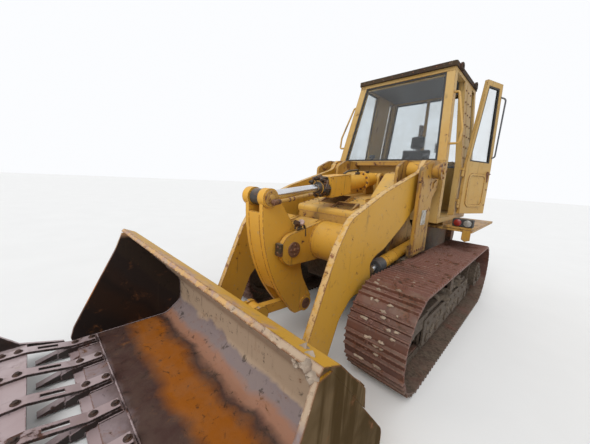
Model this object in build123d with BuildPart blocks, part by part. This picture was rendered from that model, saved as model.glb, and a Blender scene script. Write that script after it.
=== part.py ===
"""Track loader with a Z-bar bucket linkage, in millimetres.

The machine faces -Y, its left side is +X and +Z is up.  The origin lies on the
ground under the middle of the machine.  Side views are given by at(y, z): the
distance behind the front idler's axle and the height above the ground.
"""
from build123d import *
from math import atan2, cos, hypot, pi, radians, sin, tan
import os

os.makedirs("parts", exist_ok=True)

# Place of the front idler's axle in the model
IDLER_Y = -580.0

# Running clearances
PIN_GAP = 0.3
SIDE_GAP = 6.0

# Tracks
TRACK_GAUGE = 1800.0
WHEEL_BASE = 2316.0
SHOES = 38
STRAIGHT_SHOES = 14
SHOE_WIDTH = 480.0
SHOE_PLATE = 12.0
SHOE_GAP = 4.0
GROUSERS = 3
GROUSER_HEIGHT = 24.0
GROUSER_FOOT = 26.0
GROUSER_TIP = 8.0
TRACK_RADIUS = 420.0
LINK_HEIGHT = 96.0
RAIL_IN = 40.0
RAIL_OUT = 75.0

# Front idlers
IDLER_HUB = 72.0
IDLER_HUB_RADIUS = 80.0
IDLER_WEB = 20.0
IDLER_RIM = 40.0
IDLER_FLANGE = 18.0
IDLER_FLANGE_CHAMFER = 4.0

# Sprockets and final drives
SPROCKET_TEETH = 24
SPROCKET_WIDTH = 60.0
SPROCKET_BORE = 205.0
TOOTH_TIP = 6.0
TOOTH_ROOT = 32.0
DRIVE_STEPS = ((150.0, 255.0), (250.0, 230.0), (235.0, 70.0), (170.0, 75.0), (95.0, 25.0))

# Rollers
ROLLER_RADIUS = 90.0
ROLLER_WAIST = 68.0
ROLLER_FLANGE = 106.0
ROLLER_TREAD_IN = 34.0
ROLLER_TREAD_OUT = 78.0
ROLLER_OUT = 98.0
ROLLERS = 6
ROLLER_FIRST = 430.0
ROLLER_LAST = 1900.0
CARRIER_RADIUS = 70.0
CARRIER_HALF = 90.0
CARRIER_SHAFT = 30.0
CARRIER_BRACKET = (95.0, 125.0)
AXLE_RADIUS = 38.0

# Track frames
BEAM_WIDTH = 210.0
BEAM_TOP = 480.0
BEAM_BOTTOM = 330.0
BEAM_REAR = 1940.0
GUARD_IN = 112.0
GUARD_PLATE = 16.0
GUARD_BOTTOM = 165.0
GUARD_TOP = 430.0
FORK_OUT = 117.0
AXLE_CAP = 62.0
AXLE_CAP_DEPTH = 12.0

# Hull
HULL_HALF = 385.0
HULL_BOTTOM = 385.0
HULL_TOP = 1100.0
HULL_FRONT = 300.0
HULL_REAR = 3250.0

# Arm towers
TOWER_IN_PLATE = 36.0
TOWER_OUT = 662.0
TOWER_PLATE = 38.0
TOWER_FOOT = 60.0
TOWER_FOOT_BOTTOM = 705.0
TOWER_FOOT_WALL = 40.0
TOWER_STEP = 12.0
TOWER_TOP = 1905.0
PIVOT_BACK = 1065.0
PIVOT_HEIGHT = 1794.0
PIVOT_PIN = 60.0
PIVOT_TUBE = 84.0
PIVOT_CAP = 98.0
PIVOT_CAP_DEPTH = 26.0
PIVOT_END = 795.0

# Front hood
HOOD_NOSE = 60.0
DECK_IN = 175.0
CLEVIS_PLATE = 40.0
CLEVIS_RADIUS = 72.0
CLEVIS_FOOT = 110.0
FILLER_RADIUS = 62.0
FILLER_X = 290.0
FILLER_BACK = 520.0

# Lift arms
ARM_IN = 566.0
ARM_PLATE = 56.0
HUB_RADIUS = 118.0
HUB_TUBE = 96.0
CROSS_TUBE = 180.0
EAR_IN = 132.0
EAR_PLATE = 45.0
EAR_RADIUS = 140.0
FOOT_BOSS = 86.0
FOOT_BOSS_STAND = 22.0
FOOT_PIN = 42.0
FOOT_CAP = 58.0
FOOT_CAP_DEPTH = 10.0
LIFT_BOSS = 52.0

# Bell crank, link and tilt cylinder
CRANK_IN = 68.0
CRANK_PLATE = 46.0
CRANK_BOSS = 76.0
CRANK_BOSS_OUT = 124.0
CRANK_HUB = 120.0
CRANK_SPACER = 95.0
FRONT_PLATE = 28.0
TOP_BOSS_OUT = 140.0
CRANK_PIN = 55.0
CRANK_CAP = 66.0
CRANK_CAP_DEPTH = 13.0
LINK_PIN = 40.0
LINK_CAP = 52.0
LINK_CAP_DEPTH = 8.0
LINK_HALF = 52.0
LINK_BAR = 34.0
LINK_DEPTH = 84.0
LINK_EYE = 72.0
LINK_FRONT_EYE = 66.0
EYE_HALF = 55.0
EYE_RADIUS = 66.0
TILT_PIN = 45.0
TILT_BORE = 82.0
TILT_NECK = 52.0
TILT_FLANGE = 108.0
TILT_GLAND = 70.0
TILT_ROD = 38.0
TILT_BARREL = 1050.0
TILT_GLAND_END = 1130.0
TILT_ROD_START = 300.0
PISTON_RADIUS = 56.0
PISTON_SPAN = (380.0, 500.0)
CYLINDER_BOTTOM = 110.0
TILT_HEAD = (300.0, 345.0)
GUARD_BOX = (700.0, 1052.0)
GUARD_BOX_HALF = 104.0

# Lift cylinders
LIFT_X = 492.0
LIFT_BORE = 61.0
LIFT_GLAND = 65.0
LIFT_ROD = 33.0
LIFT_EYE_HALF = 30.0
LIFT_EYE = 56.0
LIFT_REAR_EYE = 64.0
LIFT_PIN = 34.0
BARREL_END = 1080.0
GLAND_LENGTH = 95.0
ROD_START = 95.0

# Bucket
BUCKET_HALF = 1241.0
BUCKET_PLATE = 14.0
SIDE_PLATE = 25.0
BUCKET_FLOOR = 40.0
EDGE_FRONT = -1963.0
EDGE_DEPTH = 215.0
EDGE_PLATE = 32.0
TEETH = 8
TOOTH_PITCH = 313.5
ADAPTER_WIDTH = 84.0
TOOTH_WIDTH = 56.0
TOOTH_REACH = 205.0
ADAPTER_BACK = 195.0
ADAPTER_TOP = 86.0
HINGE_PLATE = 30.0
HINGE_EYE = 92.0
LINK_LUG = 38.0
LINK_LUG_EYE = 74.0

# Levelling plate ahead of the teeth
LEVELLER_BACK = -2205.0
LEVELLER_FRONT = -2400.0
LEVELLER_TOP = 150.0
LEVELLER_PLATE = 26.0
STRAP_WIDTH = 84.0
STRAP_PLATE = 20.0
STRAP_SLOT = (36.0, 120.0)
CHEEK_PLATE = 22.0
CHEEK_TOP = 330.0

# Cab
CAB_FLOOR = 1250.0
CAB_HALF = 735.0
ROOF_HALF = 632.0
SILL_BACK = 1300.0
SILL_HEIGHT = 1930.0
HEAD_BACK = 1545.0
HEAD_HEIGHT = 2995.0
ROOF_TOP = 3094.0
ROOF_FRONT = 1515.0
ROOF_EDGE = 12.0
CAB_REAR = 2650.0
POST = 95.0
ROPS_POST = 75.0
WALL = 45.0
FLOOR_PLATE = 60.0
GLASS = 8.0
GLASS_GAP = 2.0
GLASS_INSET = 14.0
SIDE_GLASS_INSET = 40.0
HEAD_RAIL = (70.0, 44.0)
ROPS_FRONT = 2010.0
ROPS_REAR = 2400.0
EYE_BACK = (1700.0, 2500.0)
EYE_BORE = 22.0
EYE_PLATE = 22.0
EYE_HEIGHT = 3079.0

# Left door
DOOR_OPEN = 160.0
DOOR_WIDTH = 590.0
DOOR_THICK = 40.0
DOOR_BOTTOM = 1275.0
DOOR_TOP = 2975.0
DOOR_EDGE = 24.0
DOOR_STILE = 60.0
RIDGE_WIDTH = 30.0
RIDGE_HEIGHT = 10.0
HINGE_RADIUS = 16.0
HINGE_LEAF = 8.0
HINGE_LENGTH = 80.0
HINGE_HEIGHTS = (1355.0, 1780.0)

# Grab handles
HANDLE_RADIUS = 13.0
HANDLE_STAND = 1.4

# Seat and consoles
SEAT_BACK = 2080.0
SEAT_BASE = 300.0
CUSHION = 120.0
CONSOLE_SPAN = (300.0, 480.0)
CONSOLE_HEIGHT = 560.0

# Engine end
HOOD_HALF = 470.0
HOOD_TOP = 2030.0
HOOD_FRONT = 2680.0
HOOD_REAR = 3400.0
HOOD_POST = 60.0
PANEL = 30.0
PANEL_SEAM = 12.0
GRILLE_DEPTH = 50.0
GRILLE_FRAME = 60.0
GRILLE_SLATS = 11
FENDER_TOP = 1130.0
FENDER_OUT = 1060.0
FENDER_PLATE = 30.0
PANEL_HINGES = (1240.0, 1860.0)
PANEL_KNUCKLE = 11.0
KNUCKLE_LENGTH = 30.0
DRAWBAR_END = 3560.0
DRAWBAR_HALF = 90.0
DRAWBAR_PIN = 28.0
DRAWBAR_PLATE = 38.0
DRAWBAR_HEIGHTS = (410.0, 500.0)
DRAWBAR_BORE_BACK = 3485.0


def at(y, z, bend=0):
    """Side-view point behind the idler's axle and above the ground; bend rounds that corner."""
    return (IDLER_Y + y, z, bend) if bend else (IDLER_Y + y, z)


def back(nearer, further):
    """Y positions of two distances behind the idler's axle."""
    return (IDLER_Y + nearer, IDLER_Y + further)


def side_span(side, inner, outer):
    """Low and high X of a piece between two distances from the middle."""
    return sorted((side * inner, side * outer))


# Pins of the arm and the linkage, in side view
ARM_PIVOT = at(PIVOT_BACK, PIVOT_HEIGHT)
BUCKET_PIVOT = at(-735, 235)
CRANK_PIVOT = at(-550, 1030)
CRANK_TOP = at(-790, 1465)
CRANK_FOOT = at(-290, 440)
LINK_FRONT = at(-805, 480)
TILT_REAR = at(1050, 1680)
TUBE_CENTRE = at(-160, 1067)
LIFT_REAR = at(1400, 905)
LIFT_FRONT = at(-60, 740)

# Values worked out from the sizes above
RAIL_RADIUS = TRACK_RADIUS - GROUSER_HEIGHT - SHOE_PLATE - LINK_HEIGHT
PLATE_RADIUS = TRACK_RADIUS - GROUSER_HEIGHT
PIN_RADIUS = RAIL_RADIUS + LINK_HEIGHT / 2
LOOP = 2 * WHEEL_BASE + 2 * pi * PIN_RADIUS
SHOE_PITCH = LOOP / SHOES
SHOE_HALF = (SHOE_PITCH - SHOE_GAP) / 2
FIRST_SHOE = (WHEEL_BASE - (STRAIGHT_SHOES - 1) * SHOE_PITCH) / 2
AXLE_Z = TRACK_RADIUS
IDLER_AXLE = at(0, AXLE_Z)
SPROCKET_AXLE = at(WHEEL_BASE, AXLE_Z)
ROLLER_Z = AXLE_Z - RAIL_RADIUS + ROLLER_RADIUS + PIN_GAP
CARRIER_Z = AXLE_Z + RAIL_RADIUS - CARRIER_RADIUS - PIN_GAP
ARM_OUT = ARM_IN + ARM_PLATE
TRACK_X = TRACK_GAUGE / 2
BEAM_HALF = BEAM_WIDTH / 2
HULL_BEAM_X = TRACK_X - GUARD_IN - GUARD_PLATE - PIN_GAP
TOWER_IN = HULL_HALF + TOWER_IN_PLATE
DOOR_HINGE = (CAB_HALF + SIDE_GAP + DOOR_THICK / 2, IDLER_Y + ROPS_FRONT + 30)
BUCKET_INSIDE = BUCKET_FLOOR + BUCKET_PLATE


def corner(before, point, after):
    """Ends and middle of the arc that rounds a bent corner, all as side-view points."""
    y, z, bend = point
    rays = []
    for other in (before, after):
        dy, dz = other[0] - y, other[1] - z
        length = hypot(dy, dz)
        rays.append((dy / length, dz / length))
    (ay, az), (by, bz) = rays
    half = atan2(hypot(ay - by, az - bz), hypot(ay + by, az + bz))
    reach = bend / tan(half)
    my, mz = ay + by, az + bz
    middle = (bend / sin(half) - bend) / hypot(my, mz)
    return ((y + reach * ay, z + reach * az), (y + middle * my, z + middle * mz),
            (y + reach * by, z + reach * bz))


def draw(points):
    """Closed line through side-view points, with an arc at each bent one."""
    spots = []
    for index, point in enumerate(points):
        if len(point) == 2:
            spots.append((point, None, point))
        else:
            spots.append(corner(points[index - 1], point, points[(index + 1) % len(points)]))
    for index, (start, middle, end) in enumerate(spots):
        if middle:
            ThreePointArc(start, middle, end)
        Line(end, spots[(index + 1) % len(spots)][0])


def slab(points, x_from, x_to, mode=Mode.ADD):
    """Plate between two X positions with an outline of side-view points."""
    with BuildSketch(Plane.YZ.offset(x_from)) as outline:
        with BuildLine():
            draw(points)
        make_face()
    extrude(outline.sketch, amount=x_to - x_from, mode=mode)


def disc(centre, radius, x_from, x_to, mode=Mode.ADD):
    """Round boss or hole along X about a side-view point."""
    with BuildSketch(Plane.YZ.offset(x_from)) as outline:
        with Locations(centre):
            Circle(radius)
    extrude(outline.sketch, amount=x_to - x_from, mode=mode)


def block(x_span, y_span, z_span, mode=Mode.ADD, bend=0):
    """Box between two corners, each span being (low, high); bend rounds its upright edges."""
    middle = ((x_span[0] + x_span[1]) / 2, (y_span[0] + y_span[1]) / 2)
    width, depth = x_span[1] - x_span[0], y_span[1] - y_span[0]
    with BuildSketch(Plane.XY.offset(z_span[0])) as outline:
        with Locations(middle):
            if bend:
                RectangleRounded(width, depth, bend)
            else:
                Rectangle(width, depth)
    extrude(outline.sketch, amount=z_span[1] - z_span[0], mode=mode)


def bar(x, start, end, radius, mode=Mode.ADD):
    """Round bar at one X between two side-view points."""
    length = hypot(end[0] - start[0], end[1] - start[1])
    plane = Plane(origin=(x, *start), z_dir=(0, end[0] - start[0], end[1] - start[1]))
    with BuildSketch(plane) as outline:
        Circle(radius)
    extrude(outline.sketch, amount=length, mode=mode)


def post(centre, radius, z_from, z_to, mode=Mode.ADD):
    """Upright round piece about an (X, Y) point."""
    with BuildSketch(Plane.XY.offset(z_from)) as outline:
        with Locations(centre):
            Circle(radius)
    extrude(outline.sketch, amount=z_to - z_from, mode=mode)


def along(start, end, distance):
    """Side-view point at a distance from start towards end."""
    length = hypot(end[0] - start[0], end[1] - start[1])
    return (start[0] + (end[0] - start[0]) * distance / length,
            start[1] + (end[1] - start[1]) * distance / length)


def beside(start, end, distance, rise):
    """Side-view point at a distance along a line and a rise square to it."""
    spot = along(start, end, distance)
    length = hypot(end[0] - start[0], end[1] - start[1])
    return (spot[0] + rise * (end[1] - start[1]) / length, spot[1] - rise * (end[0] - start[0]) / length)


def strap(first, first_radius, second, second_radius, x_from, x_to, mode=Mode.ADD):
    """Plate with two round ends joined by their tangents."""
    dy, dz = second[0] - first[0], second[1] - first[1]
    heading = atan2(dz, dy)
    offset = pi / 2 - (first_radius - second_radius) / hypot(dy, dz)
    corners = []
    for centre, radius, sign in ((first, first_radius, 1), (second, second_radius, 1),
                                 (second, second_radius, -1), (first, first_radius, -1)):
        angle = heading + sign * offset
        corners.append((centre[0] + radius * cos(angle), centre[1] + radius * sin(angle)))
    slab(corners, x_from, x_to, mode)
    disc(first, first_radius, x_from, x_to, mode)
    disc(second, second_radius, x_from, x_to, mode)


def sloped_box(low, high, z_low, z_high, mode=Mode.ADD):
    """Loft between two level rectangles, each given as (x_from, x_to, y_from, y_to)."""
    faces = []
    for (x_from, x_to, y_from, y_to), z in ((low, z_low), (high, z_high)):
        with BuildSketch(Plane.XY.offset(z)) as outline:
            with Locations(((x_from + x_to) / 2, (y_from + y_to) / 2)):
                Rectangle(x_to - x_from, y_to - y_from)
        faces.append(outline.sketch)
    loft(faces, mode=mode)


def inset(points, depth):
    """Open outline moved to its right by a depth, its bends kept concentric."""
    moved = []
    for index, point in enumerate(points):
        normals = []
        for start, end in ((index - 1, index), (index, index + 1)):
            if start < 0 or end >= len(points):
                continue
            dy, dz = points[end][0] - points[start][0], points[end][1] - points[start][1]
            normals.append((dz / hypot(dy, dz), -dy / hypot(dy, dz)))
        ny = sum(n[0] for n in normals) / len(normals)
        nz = sum(n[1] for n in normals) / len(normals)
        scale = depth / (ny * ny + nz * nz)
        spot = (point[0] + ny * scale, point[1] + nz * scale)
        if len(point) == 3:
            (ay, az), (by, bz) = normals
            outward = ay * bz - az * by > 0
            spot += (point[2] + depth if outward else point[2] - depth,)
        moved.append(spot)
    return moved


def finish(builder, name):
    """Label a finished piece and write it."""
    builder.part.label = name
    export_step(builder.part, f"parts/{name}.step")


def loop_point(distance, radius):
    """Point of the track loop: distance along the pin line, radius from the axle line."""
    arc = pi * PIN_RADIUS
    distance = distance % LOOP
    if distance < WHEEL_BASE:
        y, z, heading = WHEEL_BASE - distance, AXLE_Z + radius, pi
    elif distance < WHEEL_BASE + arc:
        heading = pi + (distance - WHEEL_BASE) / PIN_RADIUS
        y, z = radius * sin(heading), AXLE_Z - radius * cos(heading)
    elif distance < 2 * WHEEL_BASE + arc:
        y, z, heading = distance - WHEEL_BASE - arc, AXLE_Z - radius, 2 * pi
    else:
        heading = (distance - 2 * WHEEL_BASE - arc) / PIN_RADIUS
        y, z = WHEEL_BASE + radius * sin(heading), AXLE_Z - radius * cos(heading)
    return (y, z, heading)


def shoe_points(index, offsets):
    """Points of one shoe: pairs of a distance along it and a radius from the axle line."""
    y, z, heading = loop_point(FIRST_SHOE + index * SHOE_PITCH, PIN_RADIUS)
    c, s = cos(heading), sin(heading)
    points = []
    for forward, radius in offsets:
        rise = radius - PIN_RADIUS
        points.append(at(y + forward * c + rise * s, z + forward * s - rise * c))
    return points


def shoe_face():
    """One shoe's outer face with its grousers."""
    offsets = [(-SHOE_HALF, PLATE_RADIUS)]
    for number in range(GROUSERS):
        middle = -SHOE_HALF + 2 * SHOE_HALF * (number + 0.5) / GROUSERS
        offsets.append((middle - GROUSER_FOOT / 2, PLATE_RADIUS))
        offsets.append((middle - GROUSER_TIP / 2, TRACK_RADIUS))
        offsets.append((middle + GROUSER_TIP / 2, TRACK_RADIUS))
        offsets.append((middle + GROUSER_FOOT / 2, PLATE_RADIUS))
    offsets.append((SHOE_HALF, PLATE_RADIUS))
    return offsets


for side, name in ((1, "left"), (-1, "right")):
    outer, inner = [], []
    for shoe in range(SHOES):
        outer += shoe_points(shoe, shoe_face())
        inner += shoe_points(shoe, [(end * SHOE_HALF, PLATE_RADIUS - SHOE_PLATE) for end in (-1, 1)])
    with BuildPart() as track:
        middle = side * TRACK_X
        slab(outer, middle - SHOE_WIDTH / 2, middle + SHOE_WIDTH / 2)
        slab(inner, middle - SHOE_WIDTH / 2, middle + SHOE_WIDTH / 2, Mode.SUBTRACT)
        for rail in (-1, 1):
            low, high = side_span(rail, RAIL_IN, RAIL_OUT)
            slab(inner, middle + low, middle + high)
        strap(IDLER_AXLE, RAIL_RADIUS, SPROCKET_AXLE, RAIL_RADIUS, middle - RAIL_OUT, middle + RAIL_OUT,
              Mode.SUBTRACT)
    finish(track, f"track_{name}")

# Front idlers: a guide flange between the rails, two treads, a web and a hub
IDLER_HALF_SECTION = ((IDLER_HUB, AXLE_RADIUS + PIN_GAP), (IDLER_HUB, IDLER_HUB_RADIUS),
                      (IDLER_WEB, IDLER_HUB_RADIUS + IDLER_WEB),
                      (IDLER_WEB, RAIL_RADIUS - IDLER_RIM - IDLER_WEB),
                      (RAIL_OUT, RAIL_RADIUS - IDLER_RIM), (RAIL_OUT, RAIL_RADIUS - PIN_GAP),
                      (RAIL_IN - IDLER_FLANGE_CHAMFER, RAIL_RADIUS - PIN_GAP),
                      (RAIL_IN - 2 * IDLER_FLANGE_CHAMFER, RAIL_RADIUS + IDLER_FLANGE))
with BuildPart() as front_idlers:
    for side in (-1, 1):
        middle = side * TRACK_X
        section_points = [(middle + x, IDLER_Y + radius) for x, radius in IDLER_HALF_SECTION]
        section_points += [(middle - x, IDLER_Y + radius) for x, radius in reversed(IDLER_HALF_SECTION)]
        with BuildSketch(Plane.XY.offset(AXLE_Z)) as section:
            with BuildLine():
                Polyline(*section_points, close=True)
            make_face()
        revolve(section.sketch, axis=Axis((0, IDLER_Y, AXLE_Z), (1, 0, 0)))
finish(front_idlers, "front_idlers")

# Sprockets: a toothed rim between the rails, bolted round the final drive
with BuildPart() as sprockets:
    rim = []
    for tooth in range(SPROCKET_TEETH):
        for share, radius in ((-0.32, PIN_RADIUS - TOOTH_ROOT), (-0.14, PIN_RADIUS + TOOTH_TIP),
                              (0.14, PIN_RADIUS + TOOTH_TIP), (0.32, PIN_RADIUS - TOOTH_ROOT)):
            angle = 2 * pi * (tooth + share) / SPROCKET_TEETH
            rim.append(at(WHEEL_BASE + radius * cos(angle), AXLE_Z + radius * sin(angle)))
    for side in (-1, 1):
        low = side * TRACK_X - SPROCKET_WIDTH / 2
        slab(rim, low, low + SPROCKET_WIDTH)
        disc(SPROCKET_AXLE, SPROCKET_BORE, low, low + SPROCKET_WIDTH, Mode.SUBTRACT)
finish(sprockets, "sprockets")

# Final drives: stepped round cases from the hull out through the sprockets
with BuildPart() as final_drives:
    for side in (-1, 1):
        start = HULL_HALF
        for radius, length in DRIVE_STEPS:
            low, high = side_span(side, start, start + length)
            disc(SPROCKET_AXLE, radius, low, high)
            start += length
            if start == TRACK_X - SPROCKET_WIDTH / 2:
                low, high = side_span(side, start, start + SPROCKET_WIDTH)
                disc(SPROCKET_AXLE, SPROCKET_BORE - PIN_GAP, low, high)
                start += SPROCKET_WIDTH
finish(final_drives, "final_drives")

# Track rollers below and the carrier rollers above the track frames
roller_step = (ROLLER_LAST - ROLLER_FIRST) / (ROLLERS - 1)
with BuildPart() as track_rollers:
    for side in (-1, 1):
        middle = side * TRACK_X
        for number in range(ROLLERS):
            centre = at(ROLLER_FIRST + number * roller_step, ROLLER_Z)
            disc(centre, ROLLER_WAIST, middle - ROLLER_TREAD_IN, middle + ROLLER_TREAD_IN)
            disc(centre, AXLE_RADIUS, middle - GUARD_IN + PIN_GAP, middle + GUARD_IN - PIN_GAP)
            for rim_side in (-1, 1):
                low, high = side_span(rim_side, ROLLER_TREAD_IN, ROLLER_TREAD_OUT)
                disc(centre, ROLLER_RADIUS, middle + low, middle + high)
                low, high = side_span(rim_side, ROLLER_TREAD_OUT, ROLLER_OUT)
                disc(centre, ROLLER_FLANGE, middle + low, middle + high)
finish(track_rollers, "track_rollers")

with BuildPart() as carrier_rollers:
    centre = at(WHEEL_BASE / 2, CARRIER_Z)
    bracket_out = CARRIER_BRACKET[1]
    for side in (-1, 1):
        middle = side * TRACK_X
        disc(centre, CARRIER_RADIUS, middle - CARRIER_HALF, middle + CARRIER_HALF)
        disc(centre, CARRIER_SHAFT, middle - bracket_out, middle + bracket_out)
        for bracket in (-1, 1):
            low, high = side_span(bracket, *CARRIER_BRACKET)
            slab([at(WHEEL_BASE / 2 - 70, BEAM_TOP), at(WHEEL_BASE / 2 + 70, BEAM_TOP),
                  at(WHEEL_BASE / 2 + 45, CARRIER_Z + 42, 40), at(WHEEL_BASE / 2 - 45, CARRIER_Z + 42, 40)],
                 middle + low, middle + high)
finish(carrier_rollers, "carrier_rollers")

# Track frames: a beam with a front fork for the idler and guard plates beside the rollers
BEAM_VIEW = [at(330, BEAM_BOTTOM), at(BEAM_REAR, BEAM_BOTTOM), at(BEAM_REAR, 420), at(1880, BEAM_TOP),
             at(420, BEAM_TOP), at(330, 450)]
GUARD_VIEW = [at(320, GUARD_BOTTOM, 40), at(2000, GUARD_BOTTOM, 40), at(2000, GUARD_TOP), at(320, GUARD_TOP)]
SPACER_VIEW = [at(330, 350), at(BEAM_REAR, 350), at(BEAM_REAR, 400), at(330, 400)]
FORK_VIEW = [at(-72, 345, 60), at(430, 345), at(430, BEAM_TOP), at(60, BEAM_TOP, 60), at(-72, 470, 60)]
for side, name in ((1, "left"), (-1, "right")):
    with BuildPart() as track_frame:
        middle = side * TRACK_X
        slab(BEAM_VIEW, middle - BEAM_HALF, middle + BEAM_HALF)
        for plate in (-1, 1):
            low, high = side_span(plate, GUARD_IN, GUARD_IN + GUARD_PLATE)
            slab(GUARD_VIEW, middle + low, middle + high)
            low, high = side_span(plate, BEAM_HALF - SIDE_GAP, GUARD_IN)
            slab(SPACER_VIEW, middle + low, middle + high)
            low, high = side_span(plate, IDLER_HUB + SIDE_GAP, FORK_OUT)
            slab(FORK_VIEW, middle + low, middle + high)
            low, high = side_span(plate, FORK_OUT, FORK_OUT + AXLE_CAP_DEPTH)
            disc(IDLER_AXLE, AXLE_CAP, middle + low, middle + high)
        disc(IDLER_AXLE, AXLE_RADIUS, middle - FORK_OUT, middle + FORK_OUT)
    finish(track_frame, f"track_frame_{name}")

# Hull between the tracks
HULL_VIEW = [at(HULL_FRONT, 470, 60), at(480, HULL_BOTTOM, 120), at(3050, HULL_BOTTOM), at(HULL_REAR, 400),
             at(HULL_REAR, HULL_TOP), at(HULL_FRONT, HULL_TOP, 120)]
with BuildPart() as hull:
    slab(HULL_VIEW, -HULL_HALF, HULL_HALF)
finish(hull, "hull")

# Beams that carry the track frames on the hull
with BuildPart() as cross_beams:
    for side in (-1, 1):
        low, high = side_span(side, HULL_HALF, HULL_BEAM_X)
        disc(at(1750, 470), 85, low, high)
        slab([at(560, 400, 20), at(760, 400, 20), at(760, 500, 20), at(560, 500, 20)], low, high)
finish(cross_beams, "cross_beams")

# Towers: inner and outer plates, pivot pins and the bar across under the windscreen
TOWER_VIEW = [at(722, 880), at(1110, 880), at(1110, 1490, 60), at(1255, 1610, 60), at(1255, TOWER_TOP, 60),
              at(960, TOWER_TOP, 130), at(722, 1800, 60)]
INNER_VIEW = [at(780, 700), at(1480, 700), at(1480, 1020, 40), at(1294, 1180, 60), at(1294, TOWER_TOP, 60),
              at(960, TOWER_TOP, 130), at(780, 1820, 60)]
FOOT_SPAN = (800, 1060)
with BuildPart() as lift_towers:
    for side in (-1, 1):
        low, high = side_span(side, TOWER_OUT, TOWER_OUT + TOWER_PLATE)
        slab(TOWER_VIEW, low, high)
        low, high = side_span(side, HULL_HALF, TOWER_IN)
        slab(INNER_VIEW, low, high)
        low, high = side_span(side, HULL_HALF, PIVOT_END)
        disc(ARM_PIVOT, PIVOT_PIN, low, high)
        low, high = side_span(side, TOWER_OUT + TOWER_PLATE, PIVOT_END - PIVOT_CAP_DEPTH)
        disc(ARM_PIVOT, PIVOT_TUBE, low, high)
        low, high = side_span(side, PIVOT_END - PIVOT_CAP_DEPTH, PIVOT_END)
        disc(ARM_PIVOT, PIVOT_CAP, low, high)
        # Tie at the top and the foot that carries the outer plate inside the track
        low, high = side_span(side, TOWER_IN, TOWER_OUT)
        slab([at(1197, 1640), at(1255, 1640), at(1255, 1860), at(1197, 1860)], low, high)
        foot_top = TOWER_FOOT_BOTTOM + TOWER_FOOT
        for low, high, z_low, z_high in (
                (TOWER_IN, TOWER_OUT - TOWER_STEP, TOWER_FOOT_BOTTOM, foot_top),
                (TOWER_OUT - TOWER_STEP - TOWER_FOOT_WALL, TOWER_OUT - TOWER_STEP, TOWER_FOOT_BOTTOM, 960),
                (TOWER_OUT - TOWER_STEP, TOWER_OUT, 882, 960)):
            block(side_span(side, low, high), back(FOOT_SPAN[0], FOOT_SPAN[1]), (z_low, z_high))
        low, high = side_span(side, TOWER_IN, LIFT_X + LIFT_EYE_HALF + 16)
        disc(LIFT_REAR, LIFT_PIN, low, high)
    block((-TOWER_OUT - TOWER_PLATE, TOWER_OUT + TOWER_PLATE), back(1205, 1275), (1860, TOWER_TOP))
finish(lift_towers, "lift_towers")

# Front hood between the arms, with the raised decks beside the tilt cylinder
HOOD_VIEW = [at(HOOD_NOSE, 1345, 40), at(620, 1455, 400), at(1200, 1490), at(1200, HULL_TOP),
             at(300, HULL_TOP), at(HOOD_NOSE, 1270, 60)]
DECK_VIEW = [at(640, 1400), at(690, 1475, 60), at(985, 1750, 80), at(1200, 1782), at(1200, 1400)]
with BuildPart() as front_hood:
    slab(HOOD_VIEW, -HULL_HALF, HULL_HALF)
    for side in (-1, 1):
        low, high = side_span(side, DECK_IN, HULL_HALF)
        slab(DECK_VIEW, low, high)
        low, high = side_span(side, EYE_HALF + SIDE_GAP, EYE_HALF + SIDE_GAP + CLEVIS_PLATE)
        strap(TILT_REAR, CLEVIS_RADIUS, at(1090, 1440), CLEVIS_FOOT, low, high)
        disc(TILT_REAR, TILT_PIN + PIN_GAP, low, high, Mode.SUBTRACT)
    post((FILLER_X, IDLER_Y + FILLER_BACK), FILLER_RADIUS, 1300, 1700, Mode.SUBTRACT)
finish(front_hood, "front_hood")

# Lift arms: two cranked plates, hub bosses, the cross tube and the ears for the bell crank
ARM_VIEW = [at(1065, 1912), at(905, 1778, 200), at(140, 1555, 900), at(-395, 1345, 260), at(-545, 1130, 700),
            at(-823, 478, 160), at(-835, 137, 96), at(-640, 137, 96), at(-560, 290, 120), at(-452, 545, 160),
            at(-300, 690, 160), at(-30, 690, 60), at(0, 780, 60), at(-42, 930, 60), at(60, 985, 90),
            at(200, 1020, 300), at(570, 1205, 500), at(1010, 1500, 200), at(1150, 1720)]
with BuildPart() as lift_arms:
    for side in (-1, 1):
        low, high = side_span(side, ARM_IN, ARM_OUT)
        slab(ARM_VIEW, low, high)
        disc(ARM_PIVOT, HUB_RADIUS, low, high)
        low, high = side_span(side, TOWER_IN + SIDE_GAP, TOWER_OUT - SIDE_GAP)
        disc(ARM_PIVOT, HUB_TUBE, low, high)
        disc(ARM_PIVOT, PIVOT_PIN + PIN_GAP, low, high, Mode.SUBTRACT)
        low, high = side_span(side, LIFT_X + LIFT_EYE_HALF + SIDE_GAP, ARM_IN)
        disc(LIFT_FRONT, LIFT_BOSS, low, high)
        low, high = side_span(side, ARM_IN - FOOT_BOSS_STAND, ARM_OUT + FOOT_BOSS_STAND)
        disc(BUCKET_PIVOT, FOOT_BOSS, low, high)
        disc(BUCKET_PIVOT, FOOT_PIN + PIN_GAP, low, high, Mode.SUBTRACT)
        low, high = side_span(side, EAR_IN, EAR_IN + EAR_PLATE)
        strap(CRANK_PIVOT, EAR_RADIUS, TUBE_CENTRE, CROSS_TUBE, low, high)
        disc(CRANK_PIVOT, CRANK_PIN + PIN_GAP, low, high, Mode.SUBTRACT)
    disc(TUBE_CENTRE, CROSS_TUBE, -ARM_IN, ARM_IN)
finish(lift_arms, "lift_arms")

# Pin of the bell crank, with the round caps outside the ears
with BuildPart() as crank_pin:
    ear_out = EAR_IN + EAR_PLATE
    disc(CRANK_PIVOT, CRANK_PIN, -ear_out - CRANK_CAP_DEPTH, ear_out + CRANK_CAP_DEPTH)
    for side in (-1, 1):
        low, high = side_span(side, ear_out, ear_out + CRANK_CAP_DEPTH)
        disc(CRANK_PIVOT, CRANK_CAP, low, high)
finish(crank_pin, "crank_pin")

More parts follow.
